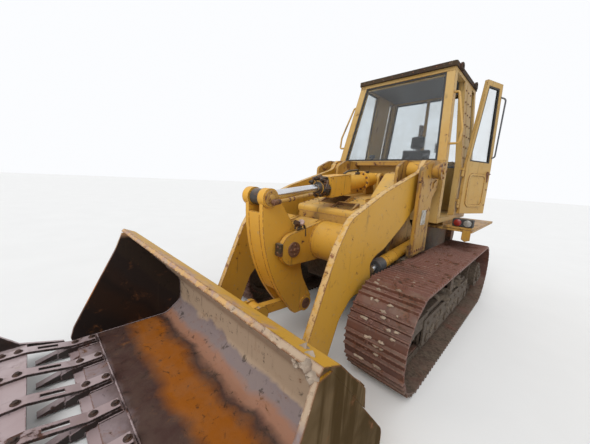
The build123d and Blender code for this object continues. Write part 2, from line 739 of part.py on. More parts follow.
# Bell crank: two curved side plates, a front plate between them and bosses at its pins
CRANK_FRONT = [at(-850, 1475), at(-830, 868, 1380), at(-430, 372)]
FRONT_PLATE_CUT = [at(-840, 535), at(-440, 785), at(-300, 300), at(-840, 300)]
FRONT_PLATE_TOP = [at(-1000, 1350), at(-700, 1350), at(-700, 1500), at(-1000, 1500)]
CRANK_VIEW = CRANK_FRONT[:2] + [at(-430, 372, 60), at(-250, 372, 90), at(-212, 500),
                                 at(-372, 760, 500), at(-400, 1085, 120), at(-712, 1500)]
with BuildPart() as bell_crank:
    slab(CRANK_FRONT + list(reversed(inset(CRANK_FRONT, -FRONT_PLATE))), -CRANK_IN, CRANK_IN)
    slab(FRONT_PLATE_CUT, -CRANK_IN, CRANK_IN, Mode.SUBTRACT)
    slab(FRONT_PLATE_TOP, -CRANK_IN, CRANK_IN, Mode.SUBTRACT)
    for side in (-1, 1):
        low, high = side_span(side, CRANK_IN, CRANK_IN + CRANK_PLATE)
        slab(CRANK_VIEW, low, high)
        low, high = side_span(side, EYE_HALF + SIDE_GAP, TOP_BOSS_OUT)
        disc(CRANK_TOP, CRANK_BOSS, low, high)
        low, high = side_span(side, LINK_HALF + SIDE_GAP, CRANK_BOSS_OUT)
        disc(CRANK_FOOT, CRANK_BOSS, low, high)
        low, high = side_span(side, CRANK_IN, EAR_IN - SIDE_GAP)
        disc(CRANK_PIVOT, CRANK_HUB, low, high)
    disc(CRANK_PIVOT, CRANK_SPACER, -CRANK_IN, CRANK_IN)
    disc(CRANK_PIVOT, CRANK_PIN + PIN_GAP, -EAR_IN, EAR_IN, Mode.SUBTRACT)
    for side in (-1, 1):
        low, high = side_span(side, LINK_HALF + SIDE_GAP, CRANK_BOSS_OUT)
        disc(CRANK_FOOT, LINK_PIN + PIN_GAP, low, high, Mode.SUBTRACT)
finish(bell_crank, "bell_crank")

# Pin between the bell crank and the bucket link
with BuildPart() as link_pin:
    disc(CRANK_FOOT, LINK_PIN, -CRANK_BOSS_OUT, CRANK_BOSS_OUT)
    for side in (-1, 1):
        low, high = side_span(side, CRANK_BOSS_OUT, CRANK_BOSS_OUT + LINK_CAP_DEPTH)
        disc(CRANK_FOOT, LINK_CAP, low, high)
finish(link_pin, "link_pin")

# Bucket link: a flat bar with an eye at each end
with BuildPart() as bucket_link:
    strap(CRANK_FOOT, LINK_DEPTH / 2, LINK_FRONT, LINK_DEPTH / 2, -LINK_BAR, LINK_BAR)
    disc(CRANK_FOOT, LINK_EYE, -LINK_HALF, LINK_HALF)
    disc(LINK_FRONT, LINK_FRONT_EYE, -LINK_HALF, LINK_HALF)
    disc(CRANK_FOOT, LINK_PIN + PIN_GAP, -LINK_HALF, LINK_HALF, Mode.SUBTRACT)
finish(bucket_link, "bucket_link")

# Bucket: a bent shell between side plates, hinge plates, link lugs and a boxed top rail
SHELL_OUTSIDE = [at(EDGE_FRONT + 60, BUCKET_FLOOR), at(-1110, BUCKET_FLOOR, 150), at(-945, 170, 110),
                 at(-945, 425, 120), at(-1440, 1025)]
SIDE_VIEW = [at(EDGE_FRONT + 40, BUCKET_FLOOR), at(-1110, BUCKET_FLOOR, 150), at(-945, 170, 110),
             at(-945, 425, 120), at(-1430, 1012), at(-1500, 1012), at(-1560, 860, 500), at(-1910, 180, 60),
             at(-1935, 90)]
HINGE_VIEW = [at(-640, 235), at(-680, 320, 60), at(-960, 520), at(-990, 480), at(-945, 425, 120),
              at(-945, 170, 110), at(-975, 130), at(-735, 140), at(-660, 165)]
LUG_VIEW = [at(-742, 470), at(-760, 548, 20), at(-1042, 548), at(-945, 425, 120), at(-945, 300),
            at(-850, 330, 40)]
RAIL_VIEW = [at(-1500, 1030), at(-1478, 1052), at(-1380, 1010), at(-1175, 795, 30), at(-1160, 690),
             at(-1200, 735), at(-1440, 1025)]
HINGE_PLATES = (ARM_IN - FOOT_BOSS_STAND - SIDE_GAP - HINGE_PLATE, ARM_OUT + FOOT_BOSS_STAND + SIDE_GAP)
with BuildPart() as bucket_shell:
    slab(SHELL_OUTSIDE + list(reversed(inset(SHELL_OUTSIDE, -BUCKET_PLATE))), -BUCKET_HALF + SIDE_PLATE,
         BUCKET_HALF - SIDE_PLATE)
    for side in (-1, 1):
        low, high = side_span(side, BUCKET_HALF - SIDE_PLATE, BUCKET_HALF)
        slab(SIDE_VIEW, low, high)
        for plate_in in HINGE_PLATES:
            low, high = side_span(side, plate_in, plate_in + HINGE_PLATE)
            slab(HINGE_VIEW, low, high)
            disc(BUCKET_PIVOT, HINGE_EYE, low, high)
            disc(BUCKET_PIVOT, FOOT_PIN + PIN_GAP, low, high, Mode.SUBTRACT)
        low, high = side_span(side, LINK_HALF + SIDE_GAP, LINK_HALF + SIDE_GAP + LINK_LUG)
        slab(LUG_VIEW, low, high)
        disc(LINK_FRONT, LINK_LUG_EYE, low, high)
    slab(RAIL_VIEW, -BUCKET_HALF, BUCKET_HALF)
finish(bucket_shell, "bucket_shell")

# Pins between the hinge plates and the arms, with a cap against each hinge plate
PIN_FROM, PIN_TO = HINGE_PLATES[0], HINGE_PLATES[1] + HINGE_PLATE
with BuildPart() as bucket_pins:
    for side in (-1, 1):
        low, high = side_span(side, PIN_FROM, PIN_TO)
        disc(BUCKET_PIVOT, FOOT_PIN, low, high)
        for low, high in ((PIN_FROM - FOOT_CAP_DEPTH, PIN_FROM), (PIN_TO, PIN_TO + FOOT_CAP_DEPTH)):
            disc(BUCKET_PIVOT, FOOT_CAP, *side_span(side, low, high))
finish(bucket_pins, "bucket_pins")

# Cutting edge with its bolted adapters and pointed teeth
EDGE_BOTTOM = BUCKET_FLOOR - EDGE_PLATE
EDGE_VIEW = [at(EDGE_FRONT, BUCKET_FLOOR), at(EDGE_FRONT + 40, EDGE_BOTTOM + 4),
             at(EDGE_FRONT + EDGE_DEPTH, EDGE_BOTTOM), at(EDGE_FRONT + EDGE_DEPTH, BUCKET_FLOOR)]
ADAPTER_VIEW = [at(EDGE_FRONT - 70, 20), at(EDGE_FRONT - 2, 12), at(EDGE_FRONT - 2, BUCKET_FLOOR),
                at(EDGE_FRONT + 60, BUCKET_FLOOR), at(EDGE_FRONT + 60, BUCKET_INSIDE),
                at(EDGE_FRONT + ADAPTER_BACK, BUCKET_INSIDE), at(EDGE_FRONT + ADAPTER_BACK, ADAPTER_TOP, 20),
                at(EDGE_FRONT - 12, ADAPTER_TOP, 30), at(EDGE_FRONT - 70, 66)]
TOOTH_VIEW = [at(EDGE_FRONT - TOOTH_REACH, 22), at(EDGE_FRONT - 70, 14), at(EDGE_FRONT - 66, 40),
              at(EDGE_FRONT - 66, 72), at(EDGE_FRONT - TOOTH_REACH, 32)]
tooth_centres = [(number - (TEETH - 1) / 2) * TOOTH_PITCH for number in range(TEETH)]
with BuildPart() as cutting_edge:
    slab(EDGE_VIEW, -BUCKET_HALF, BUCKET_HALF)
    for middle in tooth_centres:
        slab(ADAPTER_VIEW, middle - ADAPTER_WIDTH / 2, middle + ADAPTER_WIDTH / 2)
        slab(TOOTH_VIEW, middle - TOOTH_WIDTH / 2, middle + TOOTH_WIDTH / 2)
finish(cutting_edge, "cutting_edge")

# Levelling plate ahead of the teeth, on cranked straps bolted over the adapters, with end cheeks
STRAP_LINE = [at(EDGE_FRONT + ADAPTER_BACK - 10, ADAPTER_TOP), at(EDGE_FRONT + 20, ADAPTER_TOP, 60),
              at(LEVELLER_BACK, LEVELLER_TOP, 60), at(LEVELLER_FRONT + 20, LEVELLER_TOP)]
CHEEK_VIEW = [at(EDGE_FRONT - 10, 58), at(LEVELLER_BACK, LEVELLER_TOP - LEVELLER_PLATE),
              at(LEVELLER_FRONT, LEVELLER_TOP - LEVELLER_PLATE), at(LEVELLER_FRONT, CHEEK_TOP),
              at(LEVELLER_BACK - 40, LEVELLER_TOP + 20, 20), at(EDGE_FRONT - 20, 84)]
with BuildPart() as levelling_plate:
    block((-BUCKET_HALF, BUCKET_HALF), back(LEVELLER_FRONT, LEVELLER_BACK),
          (LEVELLER_TOP - LEVELLER_PLATE, LEVELLER_TOP))
    for middle in tooth_centres:
        slab(STRAP_LINE + list(reversed(inset(STRAP_LINE, STRAP_PLATE))), middle - STRAP_WIDTH / 2,
             middle + STRAP_WIDTH / 2)
        slot_middle = IDLER_Y + (EDGE_FRONT + LEVELLER_BACK) / 2
        block((middle - STRAP_SLOT[0] / 2, middle + STRAP_SLOT[0] / 2),
              (slot_middle - STRAP_SLOT[1] / 2, slot_middle + STRAP_SLOT[1] / 2), (60, 240), Mode.SUBTRACT)
    for side in (-1, 1):
        slab(CHEEK_VIEW, *side_span(side, BUCKET_HALF - CHEEK_PLATE, BUCKET_HALF))
finish(levelling_plate, "levelling_plate")

# Lift cylinders: barrels on the towers and rods on the arms
lift_length = hypot(LIFT_REAR[0] - LIFT_FRONT[0], LIFT_REAR[1] - LIFT_FRONT[1])


def lift_spot(distance):
    """Point on the lift cylinder's line, measured from its rear eye."""
    return along(LIFT_REAR, LIFT_FRONT, distance)


with BuildPart() as lift_barrels:
    for x in (-LIFT_X, LIFT_X):
        bar(x, lift_spot(LIFT_EYE), lift_spot(BARREL_END - 20), LIFT_BORE)
        bar(x, lift_spot(BARREL_END - GLAND_LENGTH), lift_spot(BARREL_END), LIFT_GLAND)
        disc(LIFT_REAR, LIFT_REAR_EYE, x - LIFT_EYE_HALF, x + LIFT_EYE_HALF)
        disc(LIFT_REAR, LIFT_PIN + PIN_GAP, x - LIFT_EYE_HALF, x + LIFT_EYE_HALF, Mode.SUBTRACT)
        bar(x, lift_spot(ROD_START - 10), lift_spot(BARREL_END + 5), LIFT_ROD + PIN_GAP, Mode.SUBTRACT)
finish(lift_barrels, "lift_barrels")

with BuildPart() as lift_rods:
    for x in (-LIFT_X, LIFT_X):
        bar(x, lift_spot(ROD_START), lift_spot(lift_length - 30), LIFT_ROD)
        disc(LIFT_FRONT, LIFT_EYE, x - LIFT_EYE_HALF, x + LIFT_EYE_HALF)
finish(lift_rods, "lift_rods")

# Tilt cylinder: barrel with its guard box, rod with its eye
tilt_length = hypot(TILT_REAR[0] - CRANK_TOP[0], TILT_REAR[1] - CRANK_TOP[1])


def tilt_spot(distance):
    """Point on the tilt cylinder's line, measured from its rear eye."""
    return along(TILT_REAR, CRANK_TOP, distance)


with BuildPart() as tilt_barrel:
    bar(0, tilt_spot(TILT_PIN), tilt_spot(90), TILT_NECK)
    bar(0, tilt_spot(88), tilt_spot(TILT_BARREL), TILT_BORE)
    bar(0, tilt_spot(TILT_HEAD[0]), tilt_spot(TILT_HEAD[1]), TILT_FLANGE)
    bar(0, tilt_spot(TILT_BARREL), tilt_spot(TILT_GLAND_END), TILT_GLAND)
    disc(TILT_REAR, EYE_RADIUS + 6, -EYE_HALF, EYE_HALF)
    low, high = GUARD_BOX
    corners = ((low, 1), (high, 1), (high, -1), (low, -1))
    slab([beside(TILT_REAR, CRANK_TOP, distance, rise * GUARD_BOX_HALF) for distance, rise in corners],
         -GUARD_BOX_HALF, GUARD_BOX_HALF)
    bar(0, tilt_spot(CYLINDER_BOTTOM), tilt_spot(TILT_BARREL), PISTON_RADIUS, Mode.SUBTRACT)
    bar(0, tilt_spot(TILT_BARREL - 10), tilt_spot(TILT_GLAND_END + 10), TILT_ROD + PIN_GAP, Mode.SUBTRACT)
    disc(TILT_REAR, TILT_PIN + PIN_GAP, -EYE_HALF, EYE_HALF, Mode.SUBTRACT)
finish(tilt_barrel, "tilt_barrel")

# Ring inside the barrel that carries the rod
with BuildPart() as tilt_piston:
    bar(0, tilt_spot(PISTON_SPAN[0]), tilt_spot(PISTON_SPAN[1]), PISTON_RADIUS - PIN_GAP)
    bar(0, tilt_spot(PISTON_SPAN[0] - 10), tilt_spot(PISTON_SPAN[1] + 10), TILT_ROD + PIN_GAP, Mode.SUBTRACT)
finish(tilt_piston, "tilt_piston")

with BuildPart() as tilt_rod:
    bar(0, tilt_spot(TILT_ROD_START), tilt_spot(tilt_length - 30), TILT_ROD)
    disc(CRANK_TOP, EYE_RADIUS, -EYE_HALF + SIDE_GAP, EYE_HALF - SIDE_GAP)
finish(tilt_rod, "tilt_rod")

with BuildPart() as tilt_pin:
    pin_half = EYE_HALF + SIDE_GAP + CLEVIS_PLATE + 4
    disc(TILT_REAR, TILT_PIN, -pin_half, pin_half)
finish(tilt_pin, "tilt_pin")


def cab_half(z):
    """Half width of the cab at a height: upright to the sill, then leaning in."""
    share = max(0.0, (z - SILL_HEIGHT) / (HEAD_HEIGHT - SILL_HEIGHT))
    return CAB_HALF + (ROOF_HALF - CAB_HALF) * share


def leaning(side, inner, outer, y_low, y_high, front_lean=0, rear_lean=0):
    """Upright piece from the sill to the head, leaning in with the cab's side.

    Inner and outer are depths from the cab's side; the leans move its front and rear edge back at the top.
    """
    low = side_span(side, CAB_HALF - inner, CAB_HALF - outer)
    high = side_span(side, ROOF_HALF - inner, ROOF_HALF - outer)
    sloped_box((*low, IDLER_Y + y_low, IDLER_Y + y_high),
               (*high, IDLER_Y + y_low + front_lean, IDLER_Y + y_high + rear_lean), SILL_HEIGHT, HEAD_HEIGHT)


# Cab floor with its walls below the windows, open at the doorway
with BuildPart() as cab_base:
    front, rear = IDLER_Y + SILL_BACK, IDLER_Y + CAB_REAR
    walls = (CAB_FLOOR, SILL_HEIGHT)
    block((-CAB_HALF, CAB_HALF), (front, rear), (CAB_FLOOR - FLOOR_PLATE, CAB_FLOOR))
    block((-CAB_HALF, CAB_HALF), (front, front + WALL), walls)
    block((-CAB_HALF, CAB_HALF), (rear - WALL, rear), walls)
    block((-CAB_HALF, -CAB_HALF + WALL), (front + WALL, rear - WALL), walls)
    block((CAB_HALF - WALL, CAB_HALF), (IDLER_Y + ROPS_REAR, rear - WALL), walls)
finish(cab_base, "cab_base")

# Cab frame: leaning front posts, wide roll-over posts, rear posts and the head rails
FRONT_LEAN = HEAD_BACK - SILL_BACK
with BuildPart() as cab_frame:
    for side in (-1, 1):
        leaning(side, POST, 0, SILL_BACK, SILL_BACK + POST, FRONT_LEAN, FRONT_LEAN)
        leaning(side, ROPS_POST, 0, ROPS_FRONT, ROPS_REAR)
        leaning(side, POST, 0, CAB_REAR - POST, CAB_REAR)
    block((CAB_HALF - ROPS_POST, CAB_HALF), back(ROPS_FRONT, ROPS_REAR), (CAB_FLOOR, SILL_HEIGHT))
    block((CAB_HALF - POST, CAB_HALF), back(SILL_BACK + WALL, SILL_BACK + POST),
          (CAB_FLOOR, SILL_HEIGHT))
    rail_depth, rail_height = HEAD_RAIL
    rail = (HEAD_HEIGHT, HEAD_HEIGHT + rail_height)
    for y in (HEAD_BACK, CAB_REAR - rail_depth):
        block((-ROOF_HALF, ROOF_HALF), back(y, y + rail_depth), rail)
    for side in (-1, 1):
        block(side_span(side, ROOF_HALF - rail_depth, ROOF_HALF), back(HEAD_BACK, CAB_REAR), rail)
    for z in HINGE_HEIGHTS:
        leaf = (z + HINGE_LENGTH + PIN_GAP, z + HINGE_LENGTH * 1.5)
        post(DOOR_HINGE, HINGE_RADIUS, *leaf)
        block((CAB_HALF, DOOR_HINGE[0]), (DOOR_HINGE[1] - HINGE_LEAF, DOOR_HINGE[1] + HINGE_LEAF), leaf)
finish(cab_frame, "cab_frame")

# Roof: a flat cap with rounded corners, and the bored lifting eyes on its sides
with BuildPart() as cab_roof:
    block((-ROOF_HALF - ROOF_EDGE, ROOF_HALF + ROOF_EDGE), back(ROOF_FRONT, CAB_REAR + ROOF_EDGE),
          (HEAD_HEIGHT + rail_height, ROOF_TOP), bend=25)
    for side in (-1, 1):
        low, high = side_span(side, ROOF_HALF + ROOF_EDGE, ROOF_HALF + ROOF_EDGE + EYE_PLATE)
        for eye in EYE_BACK:
            slab([at(eye - 60, HEAD_HEIGHT + 47), at(eye + 60, HEAD_HEIGHT + 47),
                  at(eye + 45, ROOF_TOP + 24, 40), at(eye - 45, ROOF_TOP + 24, 40)], low, high)
            disc(at(eye, EYE_HEIGHT), EYE_BORE, low, high, Mode.SUBTRACT)
finish(cab_roof, "cab_roof")


def wide_pane(y, back_lean):
    """Pane across the cab between the posts, at a distance behind the idler's axle."""
    low_half = CAB_HALF - POST - GLASS_GAP
    high_half = ROOF_HALF - POST - GLASS_GAP
    sloped_box((-low_half, low_half, IDLER_Y + y, IDLER_Y + y + GLASS),
               (-high_half, high_half, IDLER_Y + y + back_lean, IDLER_Y + y + back_lean + GLASS),
               SILL_HEIGHT, HEAD_HEIGHT)


# Panes: windscreen, rear window and the side panes
with BuildPart() as windscreen:
    wide_pane(SILL_BACK + GLASS_INSET, FRONT_LEAN)
finish(windscreen, "windscreen")

with BuildPart() as rear_window:
    wide_pane(CAB_REAR - SIDE_GLASS_INSET, 0)
finish(rear_window, "rear_window")

with BuildPart() as side_windows:
    pane = (SIDE_GLASS_INSET, SIDE_GLASS_INSET - GLASS)
    leaning(-1, *pane, SILL_BACK + POST + GLASS_GAP, ROPS_FRONT - GLASS_GAP, FRONT_LEAN)
    for side in (-1, 1):
        leaning(side, *pane, ROPS_REAR + GLASS_GAP, CAB_REAR - POST - GLASS_GAP)
finish(side_windows, "side_windows")

# Seat, its stand and the control consoles
with BuildPart() as seat_stand:
    block((-210, 210), back(SEAT_BACK - 230, SEAT_BACK + 230), (CAB_FLOOR, CAB_FLOOR + SEAT_BASE),
          bend=40)
finish(seat_stand, "seat_stand")

with BuildPart() as seat_cushions:
    base = CAB_FLOOR + SEAT_BASE
    block((-250, 250), back(SEAT_BACK - 280, SEAT_BACK + 200), (base, base + CUSHION), bend=60)
    slab([at(SEAT_BACK + 130, base + CUSHION, 30), at(SEAT_BACK + 240, base + CUSHION, 30),
          at(SEAT_BACK + 320, base + 650, 40), at(SEAT_BACK + 220, base + 650, 40)], -235, 235)
    slab([at(SEAT_BACK + 225, base + 650), at(SEAT_BACK + 315, base + 650),
          at(SEAT_BACK + 336, base + 860, 40), at(SEAT_BACK + 246, base + 860, 40)], -120, 120)
finish(seat_cushions, "seat_cushions")

with BuildPart() as consoles:
    lever_x = sum(CONSOLE_SPAN) / 2
    for side in (-1, 1):
        low, high = side_span(side, *CONSOLE_SPAN)
        top = CAB_FLOOR + CONSOLE_HEIGHT
        slab([at(1600, CAB_FLOOR), at(2300, CAB_FLOOR), at(2300, top, 40), at(1600, top, 90)], low, high)
        bar(side * lever_x, at(1720, CAB_FLOOR + 550), at(1650, CAB_FLOOR + 760), 14)
        disc(at(1647, CAB_FLOOR + 770), 30, side * lever_x - 30, side * lever_x + 30)
finish(consoles, "consoles")

# Grab handles on the front posts
with BuildPart() as grab_handles:
    for side in (-1, 1):
        high_x = cab_half(2740) + HANDLE_STAND
        low_x = cab_half(2130) + HANDLE_STAND
        path = [(side * high_x, IDLER_Y + 1530, 2740), (side * (high_x + 50), IDLER_Y + 1528, 2740),
                (side * (low_x + 105), IDLER_Y + 1420, 2290), (side * (low_x + 100), IDLER_Y + 1395, 2130),
                (side * low_x, IDLER_Y + 1395, 2130)]
        with BuildLine() as route:
            FilletPolyline(*path, radius=30)
        with BuildSketch(Plane(origin=path[0], z_dir=route.line % 0)) as section:
            Circle(HANDLE_RADIUS)
        sweep(section.sketch, path=route.line)
finish(grab_handles, "grab_handles")

# Left door, modelled open on its rear hinge; closed it covers the doorway
door_x = (sin(radians(DOOR_OPEN)), -cos(radians(DOOR_OPEN)), 0)
door_out = (cos(radians(DOOR_OPEN)), sin(radians(DOOR_OPEN)), 0)


def door_piece(low, high, z_low, z_high, mode=Mode.ADD):
    """Loft of the door between two heights, each end (u_from, u_to, v_from, v_to).

    On the door's own level planes u runs along its width and v out of the cab.
    """
    faces = []
    for (u_from, u_to, v_from, v_to), z in ((low, z_low), (high, z_high)):
        with BuildSketch(Plane(origin=(*DOOR_HINGE, z), x_dir=door_x, z_dir=(0, 0, 1))) as outline:
            with Locations(((u_from + u_to) / 2, (v_from + v_to) / 2)):
                Rectangle(u_to - u_from, v_to - v_from)
        faces.append(outline.sketch)
    loft(faces, mode=mode)


half_thick = DOOR_THICK / 2
door_lean = cab_half(SILL_HEIGHT) - cab_half(DOOR_TOP)
edge_lean = FRONT_LEAN * (DOOR_TOP - SILL_HEIGHT) / (HEAD_HEIGHT - SILL_HEIGHT)
opening_u = (DOOR_EDGE + 48, DOOR_WIDTH - DOOR_STILE)


def upper_door(u_span, thick, z_low, z_high, mode=Mode.ADD):
    """Piece of the door's leaning upper half between two heights."""
    ends = []
    for z in (z_low, z_high):
        share = (z - SILL_HEIGHT) / (DOOR_TOP - SILL_HEIGHT)
        shift = door_lean * share
        ends.append((u_span[0], u_span[1] - edge_lean * share, -thick - shift, thick - shift))
    door_piece(*ends, z_low, z_high, mode)


with BuildPart() as left_door:
    lower = (DOOR_EDGE, DOOR_WIDTH, -half_thick, half_thick)
    door_piece(lower, lower, DOOR_BOTTOM, SILL_HEIGHT)
    upper_door((DOOR_EDGE, DOOR_WIDTH), half_thick, SILL_HEIGHT, DOOR_TOP)
    upper_door(opening_u, DOOR_THICK, SILL_HEIGHT + DOOR_STILE, DOOR_TOP - DOOR_STILE, Mode.SUBTRACT)
    # Pressed ridge on the inner face of the lower panel
    middle_u, middle_z = (DOOR_EDGE + DOOR_WIDTH) / 2, (DOOR_BOTTOM + SILL_HEIGHT) / 2
    face_origin = (DOOR_HINGE[0] + middle_u * door_x[0] - half_thick * door_out[0],
                   DOOR_HINGE[1] + middle_u * door_x[1] - half_thick * door_out[1], middle_z)
    ridge_width, ridge_height = DOOR_WIDTH - 190, SILL_HEIGHT - DOOR_BOTTOM - 190
    with BuildSketch(Plane(origin=face_origin, x_dir=door_x, z_dir=tuple(-v for v in door_out))) as ridge:
        RectangleRounded(ridge_width, ridge_height, 90)
        RectangleRounded(ridge_width - 2 * RIDGE_WIDTH, ridge_height - 2 * RIDGE_WIDTH, 60,
                         mode=Mode.SUBTRACT)
    extrude(ridge.sketch, amount=RIDGE_HEIGHT)
    for z in HINGE_HEIGHTS:
        post(DOOR_HINGE, HINGE_RADIUS, z, z + HINGE_LENGTH)
        leaf = (0, DOOR_EDGE + 4, -HINGE_LEAF, HINGE_LEAF)
        door_piece(leaf, leaf, z, z + HINGE_LENGTH)
finish(left_door, "left_door")

with BuildPart() as door_glass:
    upper_door(opening_u, GLASS / 2, SILL_HEIGHT + DOOR_STILE, DOOR_TOP - DOOR_STILE)
finish(door_glass, "door_glass")

# Engine end: the engine, the radiator, hood, doors and grille
with BuildPart() as engine:
    block((-300, 300), back(2740, 3230), (HULL_TOP, 1560), bend=40)
    block((-170, 170), back(2760, 3210), (1560, 1700), bend=50)
    for number in range(4):
        post((215, IDLER_Y + 2810 + number * 118), 42, 1560, 1640)
finish(engine, "engine")

POST_IN = HOOD_HALF - HOOD_POST
with BuildPart() as radiator:
    block((-POST_IN + PIN_GAP, POST_IN - PIN_GAP), back(3290, HOOD_REAR - 20), (HULL_TOP, 1900))
finish(radiator, "radiator")

PANEL_HINGE_X = HOOD_HALF + PIN_GAP + PANEL + 12
PANEL_HINGE_Y = IDLER_Y + HOOD_FRONT + 14
GRILLE_HINGE = (-HOOD_HALF - 6, IDLER_Y + HOOD_REAR + PIN_GAP + GRILLE_DEPTH + 12)
with BuildPart() as engine_hood:
    block((-HOOD_HALF, HOOD_HALF), back(HOOD_FRONT, HOOD_REAR), (HOOD_TOP - PANEL, HOOD_TOP))
    for side in (-1, 1):
        span = side_span(side, POST_IN, HOOD_HALF)
        block(span, back(HOOD_FRONT, HOOD_FRONT + HOOD_POST), (FENDER_TOP, HOOD_TOP - PANEL))
        block(span, back(HOOD_REAR - 90, HOOD_REAR), (HULL_TOP, HOOD_TOP - PANEL))
        for z in PANEL_HINGES:
            leaf = (z, z + KNUCKLE_LENGTH)
            post((side * PANEL_HINGE_X, PANEL_HINGE_Y), PANEL_KNUCKLE, *leaf)
            block(side_span(side, HOOD_HALF, PANEL_HINGE_X),
                  (PANEL_HINGE_Y - PANEL_KNUCKLE, PANEL_HINGE_Y), leaf)
    for z in PANEL_HINGES:
        leaf = (z, z + KNUCKLE_LENGTH)
        lug = (GRILLE_HINGE[0] - PANEL_KNUCKLE, GRILLE_HINGE[0])
        post(GRILLE_HINGE, PANEL_KNUCKLE, *leaf)
        block(lug, (IDLER_Y + HOOD_REAR - 8, GRILLE_HINGE[1]), leaf)
        block((lug[0], -HOOD_HALF), back(HOOD_REAR - 8, HOOD_REAR), leaf)
finish(engine_hood, "engine_hood")

for side, name in ((1, "left"), (-1, "right")):
    with BuildPart() as engine_door:
        block(side_span(side, HOOD_HALF + PIN_GAP, HOOD_HALF + PIN_GAP + PANEL),
              (PANEL_HINGE_Y + PANEL_SEAM, IDLER_Y + HOOD_REAR - 16), (FENDER_TOP + PANEL_SEAM, HOOD_TOP - 6))
        for z in PANEL_HINGES:
            leaf = (z + KNUCKLE_LENGTH + PIN_GAP, z + 3 * KNUCKLE_LENGTH)
            post((side * PANEL_HINGE_X, PANEL_HINGE_Y), PANEL_KNUCKLE, *leaf)
            block(side_span(side, HOOD_HALF + PANEL - 4, PANEL_HINGE_X + PANEL_KNUCKLE),
                  (PANEL_HINGE_Y, PANEL_HINGE_Y + 26), leaf)
    finish(engine_door, f"engine_door_{name}")

with BuildPart() as rear_grille:
    grille_front = HOOD_REAR + PIN_GAP
    frame_low, frame_high = FENDER_TOP + PANEL_SEAM, HOOD_TOP
    block((-HOOD_HALF, HOOD_HALF), back(grille_front, grille_front + GRILLE_DEPTH),
          (frame_low, frame_high))
    block((-POST_IN, POST_IN), back(HOOD_REAR, HOOD_REAR + 80),
          (frame_low + GRILLE_FRAME, frame_high - GRILLE_FRAME), Mode.SUBTRACT)
    slat_pitch = (frame_high - frame_low - 2 * GRILLE_FRAME) / GRILLE_SLATS
    for number in range(GRILLE_SLATS):
        z = frame_low + GRILLE_FRAME + slat_pitch * (number + 0.5)
        slab([at(grille_front + 2, z + 18), at(grille_front + 46, z - 22), at(grille_front + 46, z - 14),
              at(grille_front + 2, z + 26)], -POST_IN - 1, POST_IN + 1)
    for z in PANEL_HINGES:
        leaf = (z + KNUCKLE_LENGTH + PIN_GAP, z + 3 * KNUCKLE_LENGTH)
        post(GRILLE_HINGE, PANEL_KNUCKLE, *leaf)
        block((GRILLE_HINGE[0], GRILLE_HINGE[0] + 30),
              (GRILLE_HINGE[1] - 13, GRILLE_HINGE[1] + PANEL_KNUCKLE), leaf)
finish(rear_grille, "rear_grille")

# Fenders over the tracks, and the risers that carry the cab
with BuildPart() as fenders:
    for side in (-1, 1):
        block(side_span(side, HULL_HALF, FENDER_OUT), back(1560, 3050),
              (FENDER_TOP - FENDER_PLATE, FENDER_TOP))
        block(side_span(side, 520, 700), back(1700, 2500), (FENDER_TOP, CAB_FLOOR - FLOOR_PLATE))
finish(fenders, "fenders")

# Rear tank and the drawbar with its pin bore
TANK_TOP = FENDER_TOP - FENDER_PLATE
TANK_REAR = HOOD_REAR + 40
with BuildPart() as rear_tank:
    slab([at(HULL_REAR, 560), at(HULL_REAR + 110, 560, 60), at(TANK_REAR, 760, 80), at(TANK_REAR, TANK_TOP),
          at(HULL_REAR, TANK_TOP)], -HOOD_HALF, HOOD_HALF)
finish(rear_tank, "rear_tank")

drawbar_low, drawbar_high = DRAWBAR_HEIGHTS[0], DRAWBAR_HEIGHTS[1] + DRAWBAR_PLATE
with BuildPart() as drawbar:
    width = (-DRAWBAR_HALF, DRAWBAR_HALF)
    for z_low in DRAWBAR_HEIGHTS:
        block(width, back(HULL_REAR, DRAWBAR_END), (z_low, z_low + DRAWBAR_PLATE))
    block(width, back(HULL_REAR, HULL_REAR + 60), (drawbar_low, drawbar_high))
    post((0, IDLER_Y + DRAWBAR_BORE_BACK), DRAWBAR_PIN, drawbar_low - 10, drawbar_high + 10, Mode.SUBTRACT)
finish(drawbar, "drawbar")

# Exhaust stack and the air pre-cleaner on the hood
STACK_BACK = 2950
with BuildPart() as exhaust:
    post((-180, IDLER_Y + STACK_BACK), 70, HOOD_TOP, HOOD_TOP + 60)
    post((-180, IDLER_Y + STACK_BACK), 48, HOOD_TOP + 60, HOOD_TOP + 640)
finish(exhaust, "exhaust")

with BuildPart() as pre_cleaner:
    post((190, IDLER_Y + STACK_BACK), 60, HOOD_TOP, HOOD_TOP + 180)
    post((190, IDLER_Y + STACK_BACK), 105, HOOD_TOP + 180, HOOD_TOP + 330)
finish(pre_cleaner, "pre_cleaner")
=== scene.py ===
"""Dresses the track loader: finishes, bolts, welds, seals, mud and wear over its solids.

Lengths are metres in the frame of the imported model: the machine faces -Y, its left
side is +X and +Z is up.  Places are given as spot(x, back, height), where back is the
distance behind the front idler's axle.
"""

import logging
import math
import random
from dataclasses import dataclass
from enum import Enum
from typing import Optional, Sequence, Union

import bmesh
import bpy
from mathutils import Matrix, Vector, noise


